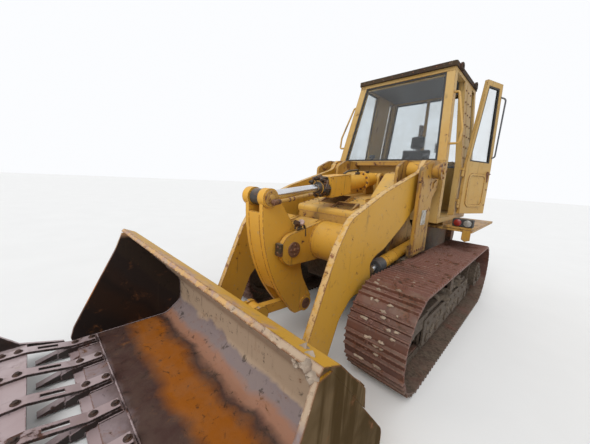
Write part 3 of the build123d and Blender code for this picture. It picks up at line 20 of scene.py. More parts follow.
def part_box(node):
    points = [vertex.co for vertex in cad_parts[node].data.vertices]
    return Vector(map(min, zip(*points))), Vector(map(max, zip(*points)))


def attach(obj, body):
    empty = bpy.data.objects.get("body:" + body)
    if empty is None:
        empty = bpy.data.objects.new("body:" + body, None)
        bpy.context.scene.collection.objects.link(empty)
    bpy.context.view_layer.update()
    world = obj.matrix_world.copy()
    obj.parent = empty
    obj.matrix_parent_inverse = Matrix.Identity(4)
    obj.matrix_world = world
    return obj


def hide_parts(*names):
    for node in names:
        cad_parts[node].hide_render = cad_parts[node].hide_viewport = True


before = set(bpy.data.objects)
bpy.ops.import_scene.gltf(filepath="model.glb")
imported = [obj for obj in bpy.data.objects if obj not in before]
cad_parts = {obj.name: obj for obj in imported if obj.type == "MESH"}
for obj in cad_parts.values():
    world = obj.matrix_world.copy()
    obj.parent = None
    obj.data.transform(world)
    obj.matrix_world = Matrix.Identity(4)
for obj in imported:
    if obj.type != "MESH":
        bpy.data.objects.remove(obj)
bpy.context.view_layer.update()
log = logging.getLogger("track_loader")

IDLER_Y = -0.580
Colour = tuple[float, float, float]
Socket = bpy.types.NodeSocket
Value = Union[Socket, float]


def spot(x: float, back: float, height: float) -> Vector:
    """Place at a distance behind the idler's axle and a height above the ground."""
    return Vector((x, IDLER_Y + back, height))


def rounded(points: Sequence[tuple[float, ...]], steps: int = 6) -> list[tuple[float, float]]:
    """Rounds the corners of an open side-view line.

    Args:
        points: (back, height) or (back, height, bend radius) of each corner.
        steps: Straight runs in each bend.

    Returns:
        The line's points with its bends divided.
    """
    line: list[tuple[float, float]] = []
    for index, point in enumerate(points):
        if len(point) == 2:
            line.append((point[0], point[1]))
            continue
        here = Vector(point[:2])
        ray_in = (Vector(points[index - 1][:2]) - here).normalized()
        ray_out = (Vector(points[index + 1][:2]) - here).normalized()
        half = ray_in.angle(ray_out) / 2
        start, end = (here + ray * point[2] / math.tan(half) for ray in (ray_in, ray_out))
        middle = here + (ray_in + ray_out).normalized() * point[2] / math.sin(half)
        for step in range(steps + 1):
            way = (start - middle).lerp(end - middle, step / steps).normalized() * point[2]
            line.append(tuple(middle + way))
    return line


class Graph:
    """Shader nodes of one material or group, with short ways to add and join them."""

    def __init__(self, tree: bpy.types.NodeTree) -> None:
        """Starts on an empty tree."""
        self.tree = tree
        tree.nodes.clear()

    def add(self, kind: str, inputs: Optional[dict[Union[str, int], object]] = None,
            **settings: object) -> bpy.types.Node:
        """Adds a node.

        Args:
            kind: Blender's node type.
            inputs: Sockets to link or values to set, by input name or number.
            **settings: Properties of the node.

        Returns:
            The new node.
        """
        node = self.tree.nodes.new(kind)
        for name, value in settings.items():
            setattr(node, name, value)
        for name, value in (inputs or {}).items():
            target = node.inputs[name]
            if isinstance(value, bpy.types.NodeSocket):
                self.tree.links.new(value, target)
            elif isinstance(value, tuple) and len(value) == 3 and target.type == "RGBA":
                target.default_value = (*value, 1.0)
            else:
                target.default_value = value
        return node

    def sum(self, kind: str, first: Value, second: Value = 0.0, clamp: bool = False) -> Socket:
        """Result of one arithmetic step on two values."""
        return self.add("ShaderNodeMath", {0: first, 1: second}, operation=kind, use_clamp=clamp).outputs[0]

    def times(self, first: Value, second: Value, clamp: bool = False) -> Socket:
        """Product of two values."""
        return self.sum("MULTIPLY", first, second, clamp)

    def fade(self, value: Socket, low: Value, high: Value, start: float = 0.0, end: float = 1.0) -> Socket:
        """Maps a value smoothly from one range to another.

        Args:
            value: The value to map.
            low: Where the result is start.
            high: Where the result is end.
            start: First result.
            end: Last result.

        Returns:
            The mapped value.
        """
        node = self.add("ShaderNodeMapRange", interpolation_type="SMOOTHSTEP",
                        inputs={0: value, 1: low, 2: high, 3: start, 4: end})
        return node.outputs[0]

    def mix(self, share: Value, first: Union[Socket, Colour], second: Union[Socket, Colour]) -> Socket:
        """Mixes two colours by a share."""
        node = self.add("ShaderNodeMix", {0: share, 6: first, 7: second}, data_type="RGBA")
        return node.outputs[2]

    def noise(self, place: Socket, scale: Value, detail: float = 5.0, rough: float = 0.6,
              warp: float = 0.0) -> Socket:
        """Cloudy values over the surface."""
        node = self.add("ShaderNodeTexNoise", {"Vector": place, "Scale": scale, "Detail": detail,
                                               "Roughness": rough, "Distortion": warp})
        return node.outputs["Fac"]

    def place(self) -> Socket:
        """Place on the piece at rest."""
        return self.add("ShaderNodeTexCoord").outputs["Object"]


def new_material(name: str) -> tuple[bpy.types.Material, Graph]:
    """Empty material and its nodes."""
    material = bpy.data.materials.new(name)
    material.use_nodes = True
    return material, Graph(material.node_tree)


class Effect(Enum):
    """Weathering effects shared by the finishes."""

    EDGE_WEAR = "worn_edges"
    PATCHES = "patches"
    STREAKS = "run_streaks"
    SETTLED = "settled_dust"
    SPLASH = "mud_splash"
    GRAIN = "surface_grain"


class EffectShelf:
    """Node groups of the shared effects, each built once."""

    def __init__(self) -> None:
        """Starts with no groups."""
        self.groups: dict[Effect, bpy.types.NodeTree] = {}

    def use(self, graph: Graph, effect: Effect, **values: Value) -> Socket:
        """Places an effect in a material.

        Args:
            graph: The material's nodes.
            effect: The effect to place.
            **values: Its inputs by name.

        Returns:
            Its mask or height.
        """
        if effect not in self.groups:
            builders = {Effect.EDGE_WEAR: self._edge_wear, Effect.PATCHES: self._patches,
                        Effect.STREAKS: self._streaks, Effect.SETTLED: self._settled,
                        Effect.SPLASH: self._splash, Effect.GRAIN: self._grain}
            self.groups[effect] = builders[effect](effect.value)
        node = graph.add("ShaderNodeGroup", node_tree=self.groups[effect])
        for name, value in values.items():
            if isinstance(value, bpy.types.NodeSocket):
                graph.tree.links.new(value, node.inputs[name])
            else:
                node.inputs[name].default_value = value
        return node.outputs[0]

    def _start(self, name: str, inputs: dict[str, float]) -> tuple[Graph, dict[str, Socket]]:
        """Opens a group.

        Args:
            name: The group's name.
            inputs: Its inputs with their usual values.

        Returns:
            The group's nodes and its input sockets by name.
        """
        tree = bpy.data.node_groups.new(name, "ShaderNodeTree")
        graph = Graph(tree)
        for label, value in inputs.items():
            made = tree.interface.new_socket(name=label, in_out="INPUT", socket_type="NodeSocketFloat")
            made.default_value = value
        tree.interface.new_socket(name="Mask", in_out="OUTPUT", socket_type="NodeSocketFloat")
        entry = graph.add("NodeGroupInput")
        return graph, {label: entry.outputs[label] for label in inputs}

    def _close(self, graph: Graph, result: Socket) -> bpy.types.NodeTree:
        """Joins a group's result to its output."""
        graph.add("NodeGroupOutput", {0: result})
        return graph.tree

    def _edge_wear(self, name: str) -> bpy.types.NodeTree:
        """Group for paint that is rubbed off along edges."""
        graph, given = self._start(name, {"Radius": 0.01, "Amount": 0.5, "Scale": 25.0})
        bent = graph.add("ShaderNodeBevel", {"Radius": given["Radius"]}, samples=4).outputs[0]
        flat = graph.add("ShaderNodeNewGeometry").outputs["Normal"]
        turn = graph.add("ShaderNodeVectorMath", {0: bent, 1: flat},
                         operation="DOT_PRODUCT").outputs["Value"]
        edge = graph.fade(turn, 0.995, 0.82)
        cloud = graph.noise(graph.place(), given["Scale"], 6.0, 0.65)
        broken = graph.times(edge, graph.sum("ADD", graph.fade(cloud, 0.38, 0.62), 0.15))
        value = graph.times(broken, given["Amount"])
        return self._close(graph, graph.fade(value, 0.22, 0.42))

    def _patches(self, name: str) -> bpy.types.NodeTree:
        """Group for spots and patches that cover a share of the surface."""
        graph, given = self._start(name, {"Scale": 6.0, "Cover": 0.3, "Soft": 0.03})
        cloud = graph.noise(graph.place(), given["Scale"], 8.0, 0.66, 0.4)
        level = graph.sum("SUBTRACT", 0.75, graph.times(given["Cover"], 0.5))
        low = graph.sum("SUBTRACT", level, given["Soft"])
        high = graph.sum("ADD", level, given["Soft"])
        return self._close(graph, graph.fade(cloud, low, high))

    def _streaks(self, name: str) -> bpy.types.NodeTree:
        """Group for dirt and rust that has run down."""
        graph, given = self._start(name, {"Scale": 18.0, "Cover": 0.4})
        long = graph.add("ShaderNodeMapping", {"Vector": graph.place(), "Scale": (1.0, 1.0, 0.07)})
        cloud = graph.noise(long.outputs[0], given["Scale"], 5.0, 0.6, 0.6)
        break_up = graph.noise(graph.place(), 3.0, 3.0)
        level = graph.sum("SUBTRACT", 0.72, graph.times(given["Cover"], 0.4))
        runs = graph.fade(cloud, level, graph.sum("ADD", level, 0.16))
        return self._close(graph, graph.times(runs, graph.fade(break_up, 0.38, 0.6)))

    def _settled(self, name: str) -> bpy.types.NodeTree:
        """Group for dust lying on faces that look up."""
        graph, given = self._start(name, {"Scale": 7.0, "Amount": 0.5})
        normal = graph.add("ShaderNodeTexCoord").outputs["Normal"]
        up = graph.add("ShaderNodeSeparateXYZ", {0: normal}).outputs[2]
        cloud = graph.noise(graph.place(), given["Scale"], 7.0, 0.62)
        lying = graph.times(graph.fade(up, 0.25, 0.9), graph.fade(cloud, 0.34, 0.66))
        return self._close(graph, graph.times(lying, given["Amount"], True))

    def _splash(self, name: str) -> bpy.types.NodeTree:
        """Group for mud thrown up to a height."""
        graph, given = self._start(name, {"Top": 0.6, "Depth": 0.35})
        place = graph.place()
        height = graph.add("ShaderNodeSeparateXYZ", {0: place}).outputs[2]
        cloud = graph.sum("SUBTRACT", graph.noise(place, 4.5, 8.0, 0.7, 0.3), 0.5)
        ragged = graph.sum("ADD", height, graph.times(cloud, 1.1))
        low = graph.sum("SUBTRACT", given["Top"], given["Depth"])
        return self._close(graph, graph.fade(ragged, given["Top"], low))

    def _grain(self, name: str) -> bpy.types.NodeTree:
        """Group for the fine roughness of cast, rolled or rusted steel."""
        graph, given = self._start(name, {"Scale": 60.0, "Dents": 0.5})
        place = graph.place()
        fine = graph.noise(place, given["Scale"], 6.0, 0.7)
        wide = graph.noise(place, 2.6, 3.0, 0.5)
        return self._close(graph, graph.sum("ADD", fine, graph.times(wide, given["Dents"])))


@dataclass(frozen=True)
class WeatheredSteel:
    """Steel with a coat, fading, rust, rubbed edges, runs of dirt, dust and mud."""

    name: str
    coat: Colour
    faded: Colour
    rust: Colour = (0.21, 0.088, 0.034)
    deep_rust: Colour = (0.062, 0.030, 0.018)
    bare: Colour = (0.17, 0.075, 0.035)
    grime: Colour = (0.055, 0.040, 0.026)
    dust: Colour = (0.33, 0.27, 0.20)
    mud: Colour = (0.105, 0.080, 0.058)
    fade_scale: float = 1.3
    rust_scale: float = 9.0
    rust_cover: float = 0.16
    wear: float = 0.8
    wear_radius: float = 0.012
    runs: float = 0.35
    settled: float = 0.25
    mud_top: float = -1.0
    rough: float = 0.42
    grain: float = 0.25
    metal: float = 0.0
    shine: float = 0.38

    def ground(self, graph: Graph, effects: EffectShelf) -> tuple[Socket, Value]:
        """Colour and roughness under the rust and dirt.

        Args:
            graph: The material's nodes.
            effects: The shared effects.

        Returns:
            Base colour and roughness.
        """
        cloud = graph.noise(graph.place(), self.fade_scale, 4.0, 0.55, 0.5)
        colour = graph.mix(graph.fade(cloud, 0.38, 0.66), self.coat, self.faded)
        scuffs = effects.use(graph, Effect.PATCHES, Scale=self.rust_scale * 2.2, Cover=0.22, Soft=0.06)
        colour = graph.mix(graph.times(scuffs, 0.45), colour, self.dust)
        return colour, graph.fade(cloud, 0.3, 0.7, self.rough, self.rough + 0.15)

    def build(self, effects: EffectShelf) -> bpy.types.Material:
        """Makes the material.

        Args:
            effects: The shared effects.

        Returns:
            The finished material.
        """
        material, graph = new_material(self.name)
        colour, rough = self.ground(graph, effects)
        runs = effects.use(graph, Effect.STREAKS, Scale=16.0, Cover=self.runs)
        colour = graph.mix(graph.times(runs, 0.7), colour, self.grime)
        worn = effects.use(graph, Effect.EDGE_WEAR, Radius=self.wear_radius, Amount=self.wear, Scale=30.0)
        spots = effects.use(graph, Effect.PATCHES, Scale=self.rust_scale, Cover=self.rust_cover, Soft=0.02)
        halo = effects.use(graph, Effect.PATCHES, Scale=self.rust_scale, Cover=self.rust_cover + 0.08,
                           Soft=0.06)
        cloud = graph.noise(graph.place(), 38.0, 5.0, 0.7)
        rusty = graph.mix(graph.fade(cloud, 0.4, 0.62), self.rust, self.deep_rust)
        colour = graph.mix(graph.times(halo, 0.35), colour, self.rust)
        colour = graph.mix(worn, colour, graph.mix(graph.fade(cloud, 0.45, 0.6), self.bare, self.rust))
        colour = graph.mix(spots, colour, rusty)
        dusty = effects.use(graph, Effect.SETTLED, Scale=6.0, Amount=self.settled)
        colour = graph.mix(dusty, colour, self.dust)
        broken = graph.sum("MAXIMUM", spots, graph.times(worn, 0.6))
        rough = graph.add("ShaderNodeMix", {0: broken, 2: rough, 3: 0.85}).outputs[0]
        if self.mud_top > 0.0:
            splash = effects.use(graph, Effect.SPLASH, Top=self.mud_top, Depth=0.4)
            caked = graph.mix(graph.fade(cloud, 0.35, 0.68), self.mud, self.grime)
            colour = graph.mix(graph.times(splash, 0.92), colour, caked)
            rough = graph.add("ShaderNodeMix", {0: splash, 2: rough, 3: 0.8}).outputs[0]
        height = graph.times(effects.use(graph, Effect.GRAIN, Scale=70.0, Dents=0.8), self.grain)
        height = graph.sum("SUBTRACT", height, graph.times(broken, 0.35))
        soft_edge = graph.add("ShaderNodeBevel", {"Radius": 0.004}, samples=4).outputs[0]
        bump = graph.add("ShaderNodeBump", {"Strength": 0.55, "Distance": 0.003, "Height": height,
                                            "Normal": soft_edge})
        shader = graph.add("ShaderNodeBsdfPrincipled", {
            "Base Color": colour, "Roughness": rough, "Metallic": self.metal,
            "Specular IOR Level": self.shine,
            "Normal": bump.outputs[0]})
        graph.add("ShaderNodeOutputMaterial", {"Surface": shader.outputs[0]})
        return material


@dataclass(frozen=True)
class RimmedPaint(WeatheredSteel):
    """Painted plate whose narrow rim is bleached and chipped."""

    rim: Colour = (0.62, 0.41, 0.17)
    chips: Colour = (0.24, 0.10, 0.040)
    beyond: float = 0.55

    def ground(self, graph: Graph, effects: EffectShelf) -> tuple[Socket, Value]:
        """Paint with a paler rim.

        Args:
            graph: The material's nodes.
            effects: The shared effects.

        Returns:
            Base colour and roughness.
        """
        paint, rough = super().ground(graph, effects)
        coords = graph.add("ShaderNodeTexCoord").outputs
        face = graph.sum("ABSOLUTE", graph.add("ShaderNodeSeparateXYZ", {0: coords["Normal"]}).outputs[0])
        wide = graph.sum("ABSOLUTE", graph.add("ShaderNodeSeparateXYZ", {0: coords["Object"]}).outputs[0])
        edge = graph.times(graph.fade(face, 0.5, 0.3), graph.fade(wide, self.beyond, self.beyond + 0.01))
        cloud = graph.noise(coords["Object"], 11.0, 7.0, 0.68)
        worn = graph.mix(graph.fade(cloud, 0.56, 0.62), self.rim, self.chips)
        return graph.mix(graph.times(edge, graph.fade(cloud, 0.36, 0.50)), paint, worn), rough


@dataclass(frozen=True)
class ShadedFlankSteel(WeatheredSteel):
    """Bare steel, wet on its flat faces, with painted shade on its flanks: faces turned sideways or down take a
    near-black colour.
    """

    # Near-black colour of the painted shade on side faces.
    flank_shade: Colour = (0.030, 0.021, 0.018)

    def ground(self, graph: Graph, effects: EffectShelf) -> tuple[Socket, Value]:
        """Steel tops, and painted shade on the sides and undersides.

        Args:
            graph: The material's nodes.
            effects: The shared effects.

        Returns:
            Base colour and roughness.
        """
        steel, rough = super().ground(graph, effects)
        normal = graph.add("ShaderNodeTexCoord").outputs["Normal"]
        up = graph.add("ShaderNodeSeparateXYZ", {0: normal}).outputs[2]
        # Painted shade: faces whose normal points sideways or down fade to the flank colour.
        return graph.mix(graph.fade(up, 0.55, 0.25), steel, self.flank_shade), rough


@dataclass(frozen=True)
class BucketSteel(WeatheredSteel):
    """Bucket plate: paint outside, inside bands of wet, rusty and bare steel, and painted shade on the inner
    faces of the side plates.
    """

    lip: Colour = (0.30, 0.235, 0.245)
    wet: Colour = (0.075, 0.040, 0.034)
    orange: Colour = (0.34, 0.108, 0.014)
    salmon: Colour = (0.33, 0.165, 0.105)
    bend: Colour = (0.235, 0.185, 0.180)
    blade: Colour = (0.42, 0.310, 0.215)
    # Near-black used for dark stains on the steel and for the painted shade on the side plates' inner faces.
    dark: Colour = (0.020, 0.014, 0.012)
    cheek_mud: Colour = (0.028, 0.016, 0.006)
    half_width: float = 1.20

    def ground(self, graph: Graph, effects: EffectShelf) -> tuple[Socket, Value]:
        """Paint outside, banded bare steel inside, and painted shade on the side plates' inner faces.

        Args:
            graph: The material's nodes.
            effects: The shared effects.

        Returns:
            Base colour and roughness.
        """
        paint, paint_rough = super().ground(graph, effects)
        place = graph.place()
        x, y, z = graph.add("ShaderNodeSeparateXYZ", {0: place}).outputs
        normal = graph.add("ShaderNodeTexCoord").outputs["Normal"]
        face_x, face_y, face_z = graph.add("ShaderNodeSeparateXYZ", {0: normal}).outputs
        warp = graph.times(graph.sum("SUBTRACT", graph.noise(place, 1.7, 6.0, 0.6, 0.5), 0.5), 0.36)
        depth = graph.sum("ADD", graph.sum("ADD", y, 2.54), graph.times(z, 0.9))
        depth = graph.times(graph.sum("ADD", depth, warp), 0.6)
        ramp = graph.add("ShaderNodeValToRGB", {0: depth})
        stops = ((0.0, self.lip), (0.10, self.lip), (0.17, self.wet), (0.27, self.wet), (0.34, self.orange),
                 (0.43, self.orange), (0.49, self.wet), (0.53, self.salmon), (0.57, self.salmon),
                 (0.62, self.bend),
                 (0.69, self.bend), (0.715, self.blade))
        for index, (where, tone) in enumerate(stops):
            stop = ramp.color_ramp.elements[index] if index < 2 else ramp.color_ramp.elements.new(where)
            stop.position = where
            stop.color = (*tone, 1.0)
        blotch = graph.noise(place, 14.0, 7.0, 0.7, 0.6)
        steel = graph.mix(graph.fade(blotch, 0.57, 0.66, 0.0, 0.7), ramp.outputs[0], self.dark)
        cheek = graph.fade(graph.sum("ABSOLUTE", face_x), 0.6, 0.8)
        far_out = graph.fade(graph.sum("ABSOLUTE", x), self.half_width, self.half_width + 0.012)
        inward = graph.fade(graph.times(x, face_x), -0.5, -0.9)
        # Painted shade: sideways-facing faces, such as the side plates' inner faces, take the near-black colour.
        tone = graph.mix(graph.times(cheek, 0.96), steel, self.dark)
        facing = graph.fade(face_y, -0.05, -0.3)
        floor = graph.times(graph.fade(face_z, 0.4, 0.8), graph.fade(z, 0.3, 0.22))
        inside = graph.sum("MAXIMUM", facing, floor)
        inside = graph.times(inside, graph.sum("SUBTRACT", 1.0, cheek))
        inside = graph.sum("MAXIMUM", inside, graph.times(graph.times(cheek, far_out), inward))
        puddle = graph.times(floor, graph.fade(graph.noise(place, 2.2, 3.0), 0.42, 0.56))
        steel_rough = graph.fade(puddle, 0.0, 1.0, 0.55, 0.16)
        rough = graph.add("ShaderNodeMix", {0: inside, 2: paint_rough, 3: steel_rough}).outputs[0]
        outer = graph.times(graph.times(cheek, far_out), graph.sum("SUBTRACT", 1.0, inward))
        rough = graph.add("ShaderNodeMix", {0: outer, 2: rough, 3: 0.95}).outputs[0]
        runs = effects.use(graph, Effect.STREAKS, Scale=9.0, Cover=0.8)
        top = graph.times(graph.fade(z, 0.955, 1.0), graph.fade(y, -1.985, -2.035))
        top = graph.times(top, graph.fade(x, 1.0, 0.96))
        rubbed = graph.mix(graph.fade(blotch, 0.42, 0.6), (0.60, 0.35, 0.12), (0.38, 0.24, 0.21))
        colour = graph.mix(inside, paint, tone)
        colour = graph.mix(graph.times(outer, 0.95), colour,
                           graph.mix(graph.times(runs, 0.9), self.cheek_mud, (0.120, 0.082, 0.046)))
        worn_top = graph.times(top, graph.fade(graph.noise(place, 9.0, 6.0), 0.36, 0.52))
        return graph.mix(graph.times(worn_top, 0.85), colour, rubbed), rough


@dataclass(frozen=True)
class Pane:
    """Window glass with a film of dust."""

    name: str
    tint: Colour = (0.80, 0.84, 0.86)

    def build(self, effects: EffectShelf) -> bpy.types.Material:
        """Makes the material.

        Args:
            effects: The shared effects.

        Returns:
            The finished material.
        """
        material, graph = new_material(self.name)
        film = effects.use(graph, Effect.PATCHES, Scale=3.0, Cover=0.5, Soft=0.2)
        colour = graph.mix(graph.times(film, 0.25), self.tint, (0.60, 0.58, 0.54))
        rough = graph.fade(film, 0.0, 1.0, 0.02, 0.10)
        shader = graph.add("ShaderNodeBsdfPrincipled", {
            "Base Color": colour, "Roughness": rough, "IOR": 1.45, "Transmission Weight": 1.0})
        graph.add("ShaderNodeOutputMaterial", {"Surface": shader.outputs[0]})
        return material


@dataclass(frozen=True)
class Moulded:
    """Rubber, plastic, lens or cloth: one colour with a mottle, scuffs and its own grain."""

    name: str
    colour: Colour
    mottle: Colour
    rough: float = 0.6
    scale: float = 40.0
    bump: float = 0.3
    weave: bool = False
    dusty: float = 0.3

    def build(self, effects: EffectShelf) -> bpy.types.Material:
        """Makes the material.

        Args:
            effects: The shared effects.

        Returns:
            The finished material.
        """
        material, graph = new_material(self.name)
        place = graph.place()
        cloud = graph.noise(place, self.scale, 6.0, 0.6)
        colour = graph.mix(graph.fade(cloud, 0.38, 0.64), self.colour, self.mottle)
        dust = effects.use(graph, Effect.SETTLED, Scale=9.0, Amount=self.dusty)
        colour = graph.mix(dust, colour, (0.30, 0.25, 0.19))
        height: Value = cloud
        if self.weave:
            threads = [graph.add("ShaderNodeTexWave", {"Vector": place, "Scale": 190.0, "Distortion": 0.6},
                                 bands_direction=way).outputs["Fac"] for way in ("X", "Z")]
            height = graph.sum("ADD", cloud, graph.sum("MAXIMUM", threads[0], threads[1]))
        bump = graph.add("ShaderNodeBump", {"Strength": self.bump, "Distance": 0.0015, "Height": height})
        shader = graph.add("ShaderNodeBsdfPrincipled", {
            "Base Color": colour, "Roughness": graph.fade(cloud, 0.3, 0.7, self.rough, self.rough + 0.12),
            "Sheen Weight": 0.3 if self.weave else 0.0, "Normal": bump.outputs[0]})
        graph.add("ShaderNodeOutputMaterial", {"Surface": shader.outputs[0]})
        return material


class Look(Enum):
    """Finishes of the machine, each named for what it covers."""

    ARMS = "arm_paint"
    CRANK = "crank_paint"
    HOOD = "hood_paint"
    TOWER = "tower_paint"
    CAB = "cab_paint"
    ROOF = "roof_rim_paint"
    BUCKET = "bucket_plate"
    EDGE = "edge_steel"
    TRACK = "track_shoe_steel"
    UNDER = "muddy_frame_steel"
    PINS = "rusty_pin_steel"
    BOLTS = "bolt_steel"
    ROD = "chromed_rod"
    GLAND = "oily_gland"
    GREY_GLAND = "grey_gland"
    CORE = "radiator_core"
    STACK = "burnt_stack"
    GLASS = "window_glass"
    SEAL = "black_rubber"
    CLOTH = "seat_weave"
    TRIM = "grey_trim"
    RED_LENS = "red_lens"
    PALE_LENS = "pale_lens"
    PALE_PLATE = "pale_plate"
    PINK_CAP = "pink_cap"
    MUD = "dried_mud"
    PALE_MUD = "pale_mud"


PALE_YELLOW: Colour = (0.63, 0.395, 0.095)


class Paintshop:
    """Builds each finish once and puts it on the solids."""

    def __init__(self) -> None:
        """Prepares the shared effects and the list of finishes."""
        self.effects = EffectShelf()
        steel = WeatheredSteel
        self.recipes = {
            Look.ARMS: RimmedPaint("arm_paint", (0.600, 0.315, 0.028), (0.56, 0.305, 0.040),
                                   rust_cover=0.19,
                rust_scale=13.0, wear=1.1, wear_radius=0.018, runs=0.34, mud_top=0.34,
                settled=0.12),
            Look.CRANK: steel("crank_paint", (0.70, 0.365, 0.032), (0.65, 0.340, 0.040), rust_cover=0.13,
                rust_scale=15.0, wear=0.9, wear_radius=0.014, runs=0.32, settled=0.10),
            Look.HOOD: steel("hood_paint", (0.61, 0.35, 0.060), PALE_YELLOW, rust_cover=0.20,
                             rust_scale=12.0,
                wear=0.8, runs=0.3, settled=0.35),
            # Coat darkened partly as painted shade of the towers' and fenders' side faces, on top of the paint's
            # own weathered tone.
            Look.TOWER: steel("tower_paint", (0.42, 0.220, 0.034), (0.45, 0.265, 0.065), rust_cover=0.30,
                rust_scale=10.0, wear=1.1, wear_radius=0.016, runs=0.6, settled=0.3, mud_top=1.05),
            # Coat darkened partly as painted shade of the cab's and door's side faces, on top of the paint's own
            # dusty tone.
            Look.CAB: steel("cab_paint", (0.47, 0.275, 0.066), (0.50, 0.330, 0.120), rust_cover=0.17,
                rust_scale=14.0, wear=0.85, runs=0.4, settled=0.35),
            Look.ROOF: steel("roof_rim_paint", (0.036, 0.024, 0.016), (0.060, 0.040, 0.022),
                             rust=(0.050, 0.027, 0.018),
                bare=(0.055, 0.034, 0.024), rust_cover=0.35, wear=0.8, runs=0.5, rough=0.7,
                shine=0.2),
            Look.BUCKET: BucketSteel("bucket_plate", (0.58, 0.315, 0.036), (0.60, 0.36, 0.070),
                                     rust_cover=0.17,
                rust_scale=8.0, wear=1.2, wear_radius=0.014, runs=0.3, settled=0.1,
                grain=0.5, shine=0.12),
            Look.EDGE: ShadedFlankSteel("edge_steel", (0.50, 0.405, 0.410), (0.37, 0.270, 0.270),
                rust=(0.13, 0.060, 0.042), deep_rust=(0.050, 0.030, 0.026),
                bare=(0.40, 0.32, 0.33), rust_cover=0.26, rust_scale=5.0, rough=0.26,
                settled=0.0, runs=0.3, metal=0.2, grain=0.5),
            Look.TRACK: steel("track_shoe_steel", (0.150, 0.058, 0.040), (0.092, 0.041, 0.030),
                rust=(0.15, 0.055, 0.030), bare=(0.27, 0.145, 0.115), rust_cover=0.36,
                rust_scale=7.0, wear=1.0, dust=(0.22, 0.165, 0.125), settled=0.45, rough=0.45,
                grain=0.6, mud_top=0.30, mud=(0.150, 0.112, 0.080)),
            Look.UNDER: steel("muddy_frame_steel", (0.135, 0.085, 0.038), (0.075, 0.056, 0.040),
                              rust_cover=0.45,
                rust_scale=5.0, settled=0.8, dust=(0.20, 0.155, 0.115), rough=0.75, grain=0.9,
                mud_top=0.95, mud=(0.115, 0.088, 0.066)),
            Look.PINS: steel("rusty_pin_steel", (0.20, 0.085, 0.045), (0.12, 0.060, 0.040), rust_cover=0.4,
                rust_scale=22.0, wear=0.5, rough=0.6, grain=0.5),
            Look.BOLTS: steel("bolt_steel", (0.060, 0.036, 0.029), (0.038, 0.026, 0.022),
                              rust=(0.10, 0.045, 0.028),
                rust_cover=0.35, rust_scale=40.0, wear=0.3, rough=0.65, settled=0.0, grain=0.4),
            Look.ROD: steel("chromed_rod", (0.72, 0.73, 0.75), (0.62, 0.62, 0.64), rust_cover=0.02,
                            wear=0.1,
                runs=0.1, settled=0.05, rough=0.14, metal=0.9, grain=0.03),
            Look.GLAND: steel("oily_gland", (0.028, 0.024, 0.020), (0.050, 0.040, 0.028), rust_cover=0.2,
                wear=0.5, rough=0.28, settled=0.25, grain=0.7),
            Look.GREY_GLAND: steel("grey_gland", (0.115, 0.118, 0.125), (0.075, 0.075, 0.078),
                                   rust_cover=0.25,
                rust_scale=14.0, wear=0.6, rough=0.4, settled=0.2, grain=0.5),
            Look.CORE: steel("radiator_core", (0.055, 0.052, 0.050), (0.090, 0.075, 0.058), rust_cover=0.2,
                rust_scale=20.0, rough=0.7, settled=0.4),
            Look.STACK: steel("burnt_stack", (0.115, 0.070, 0.045), (0.060, 0.042, 0.034), rust_cover=0.5,
                rust_scale=8.0, wear=0.5, rough=0.8, grain=0.6),
            Look.GLASS: Pane("window_glass"),
            Look.SEAL: Moulded("black_rubber", (0.022, 0.022, 0.022), (0.040, 0.037, 0.034), rough=0.6),
            Look.CLOTH: Moulded("seat_weave", (0.045, 0.047, 0.052), (0.070, 0.070, 0.074), rough=0.85,
                scale=9.0, bump=0.5, weave=True, dusty=0.15),
            Look.TRIM: Moulded("grey_trim", (0.082, 0.088, 0.100), (0.125, 0.128, 0.135), rough=0.55,
                               scale=20.0),
            Look.RED_LENS: Moulded("red_lens", (0.26, 0.018, 0.012), (0.16, 0.014, 0.010), rough=0.25),
            Look.PALE_LENS: Moulded("pale_lens", (0.30, 0.29, 0.27), (0.20, 0.19, 0.17), rough=0.25),
            Look.PALE_PLATE: Moulded("pale_plate", (0.50, 0.49, 0.45), (0.30, 0.26, 0.20), rough=0.5,
                                     scale=24.0),
            Look.PINK_CAP: Moulded("pink_cap", (0.52, 0.36, 0.31), (0.36, 0.24, 0.20), rough=0.55,
                                   scale=30.0),
            Look.MUD: Moulded("dried_mud", (0.150, 0.115, 0.082), (0.085, 0.064, 0.046), rough=0.9,
                              scale=30.0,
                bump=0.9, dusty=0.4),
            Look.PALE_MUD: Moulded("pale_mud", (0.40, 0.315, 0.240), (0.23, 0.165, 0.120), rough=0.9,
                                   scale=26.0,
                bump=0.9, dusty=0.5),
        }
        self.made: dict[Look, bpy.types.Material] = {}

    def get(self, look: Look) -> bpy.types.Material:
        """Material of a finish, built when first asked for."""
        if look not in self.made:
            self.made[look] = self.recipes[look].build(self.effects)
        return self.made[look]

    def coat(self, look: Look, *nodes: str) -> None:
        """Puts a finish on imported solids.

        Args:
            look: The finish.
            *nodes: Names of the solids.
        """
        for name in nodes:
            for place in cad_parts[name].material_slots:
                place.material = self.get(look)
        log.info("%s on %s", look.value, ", ".join(nodes))

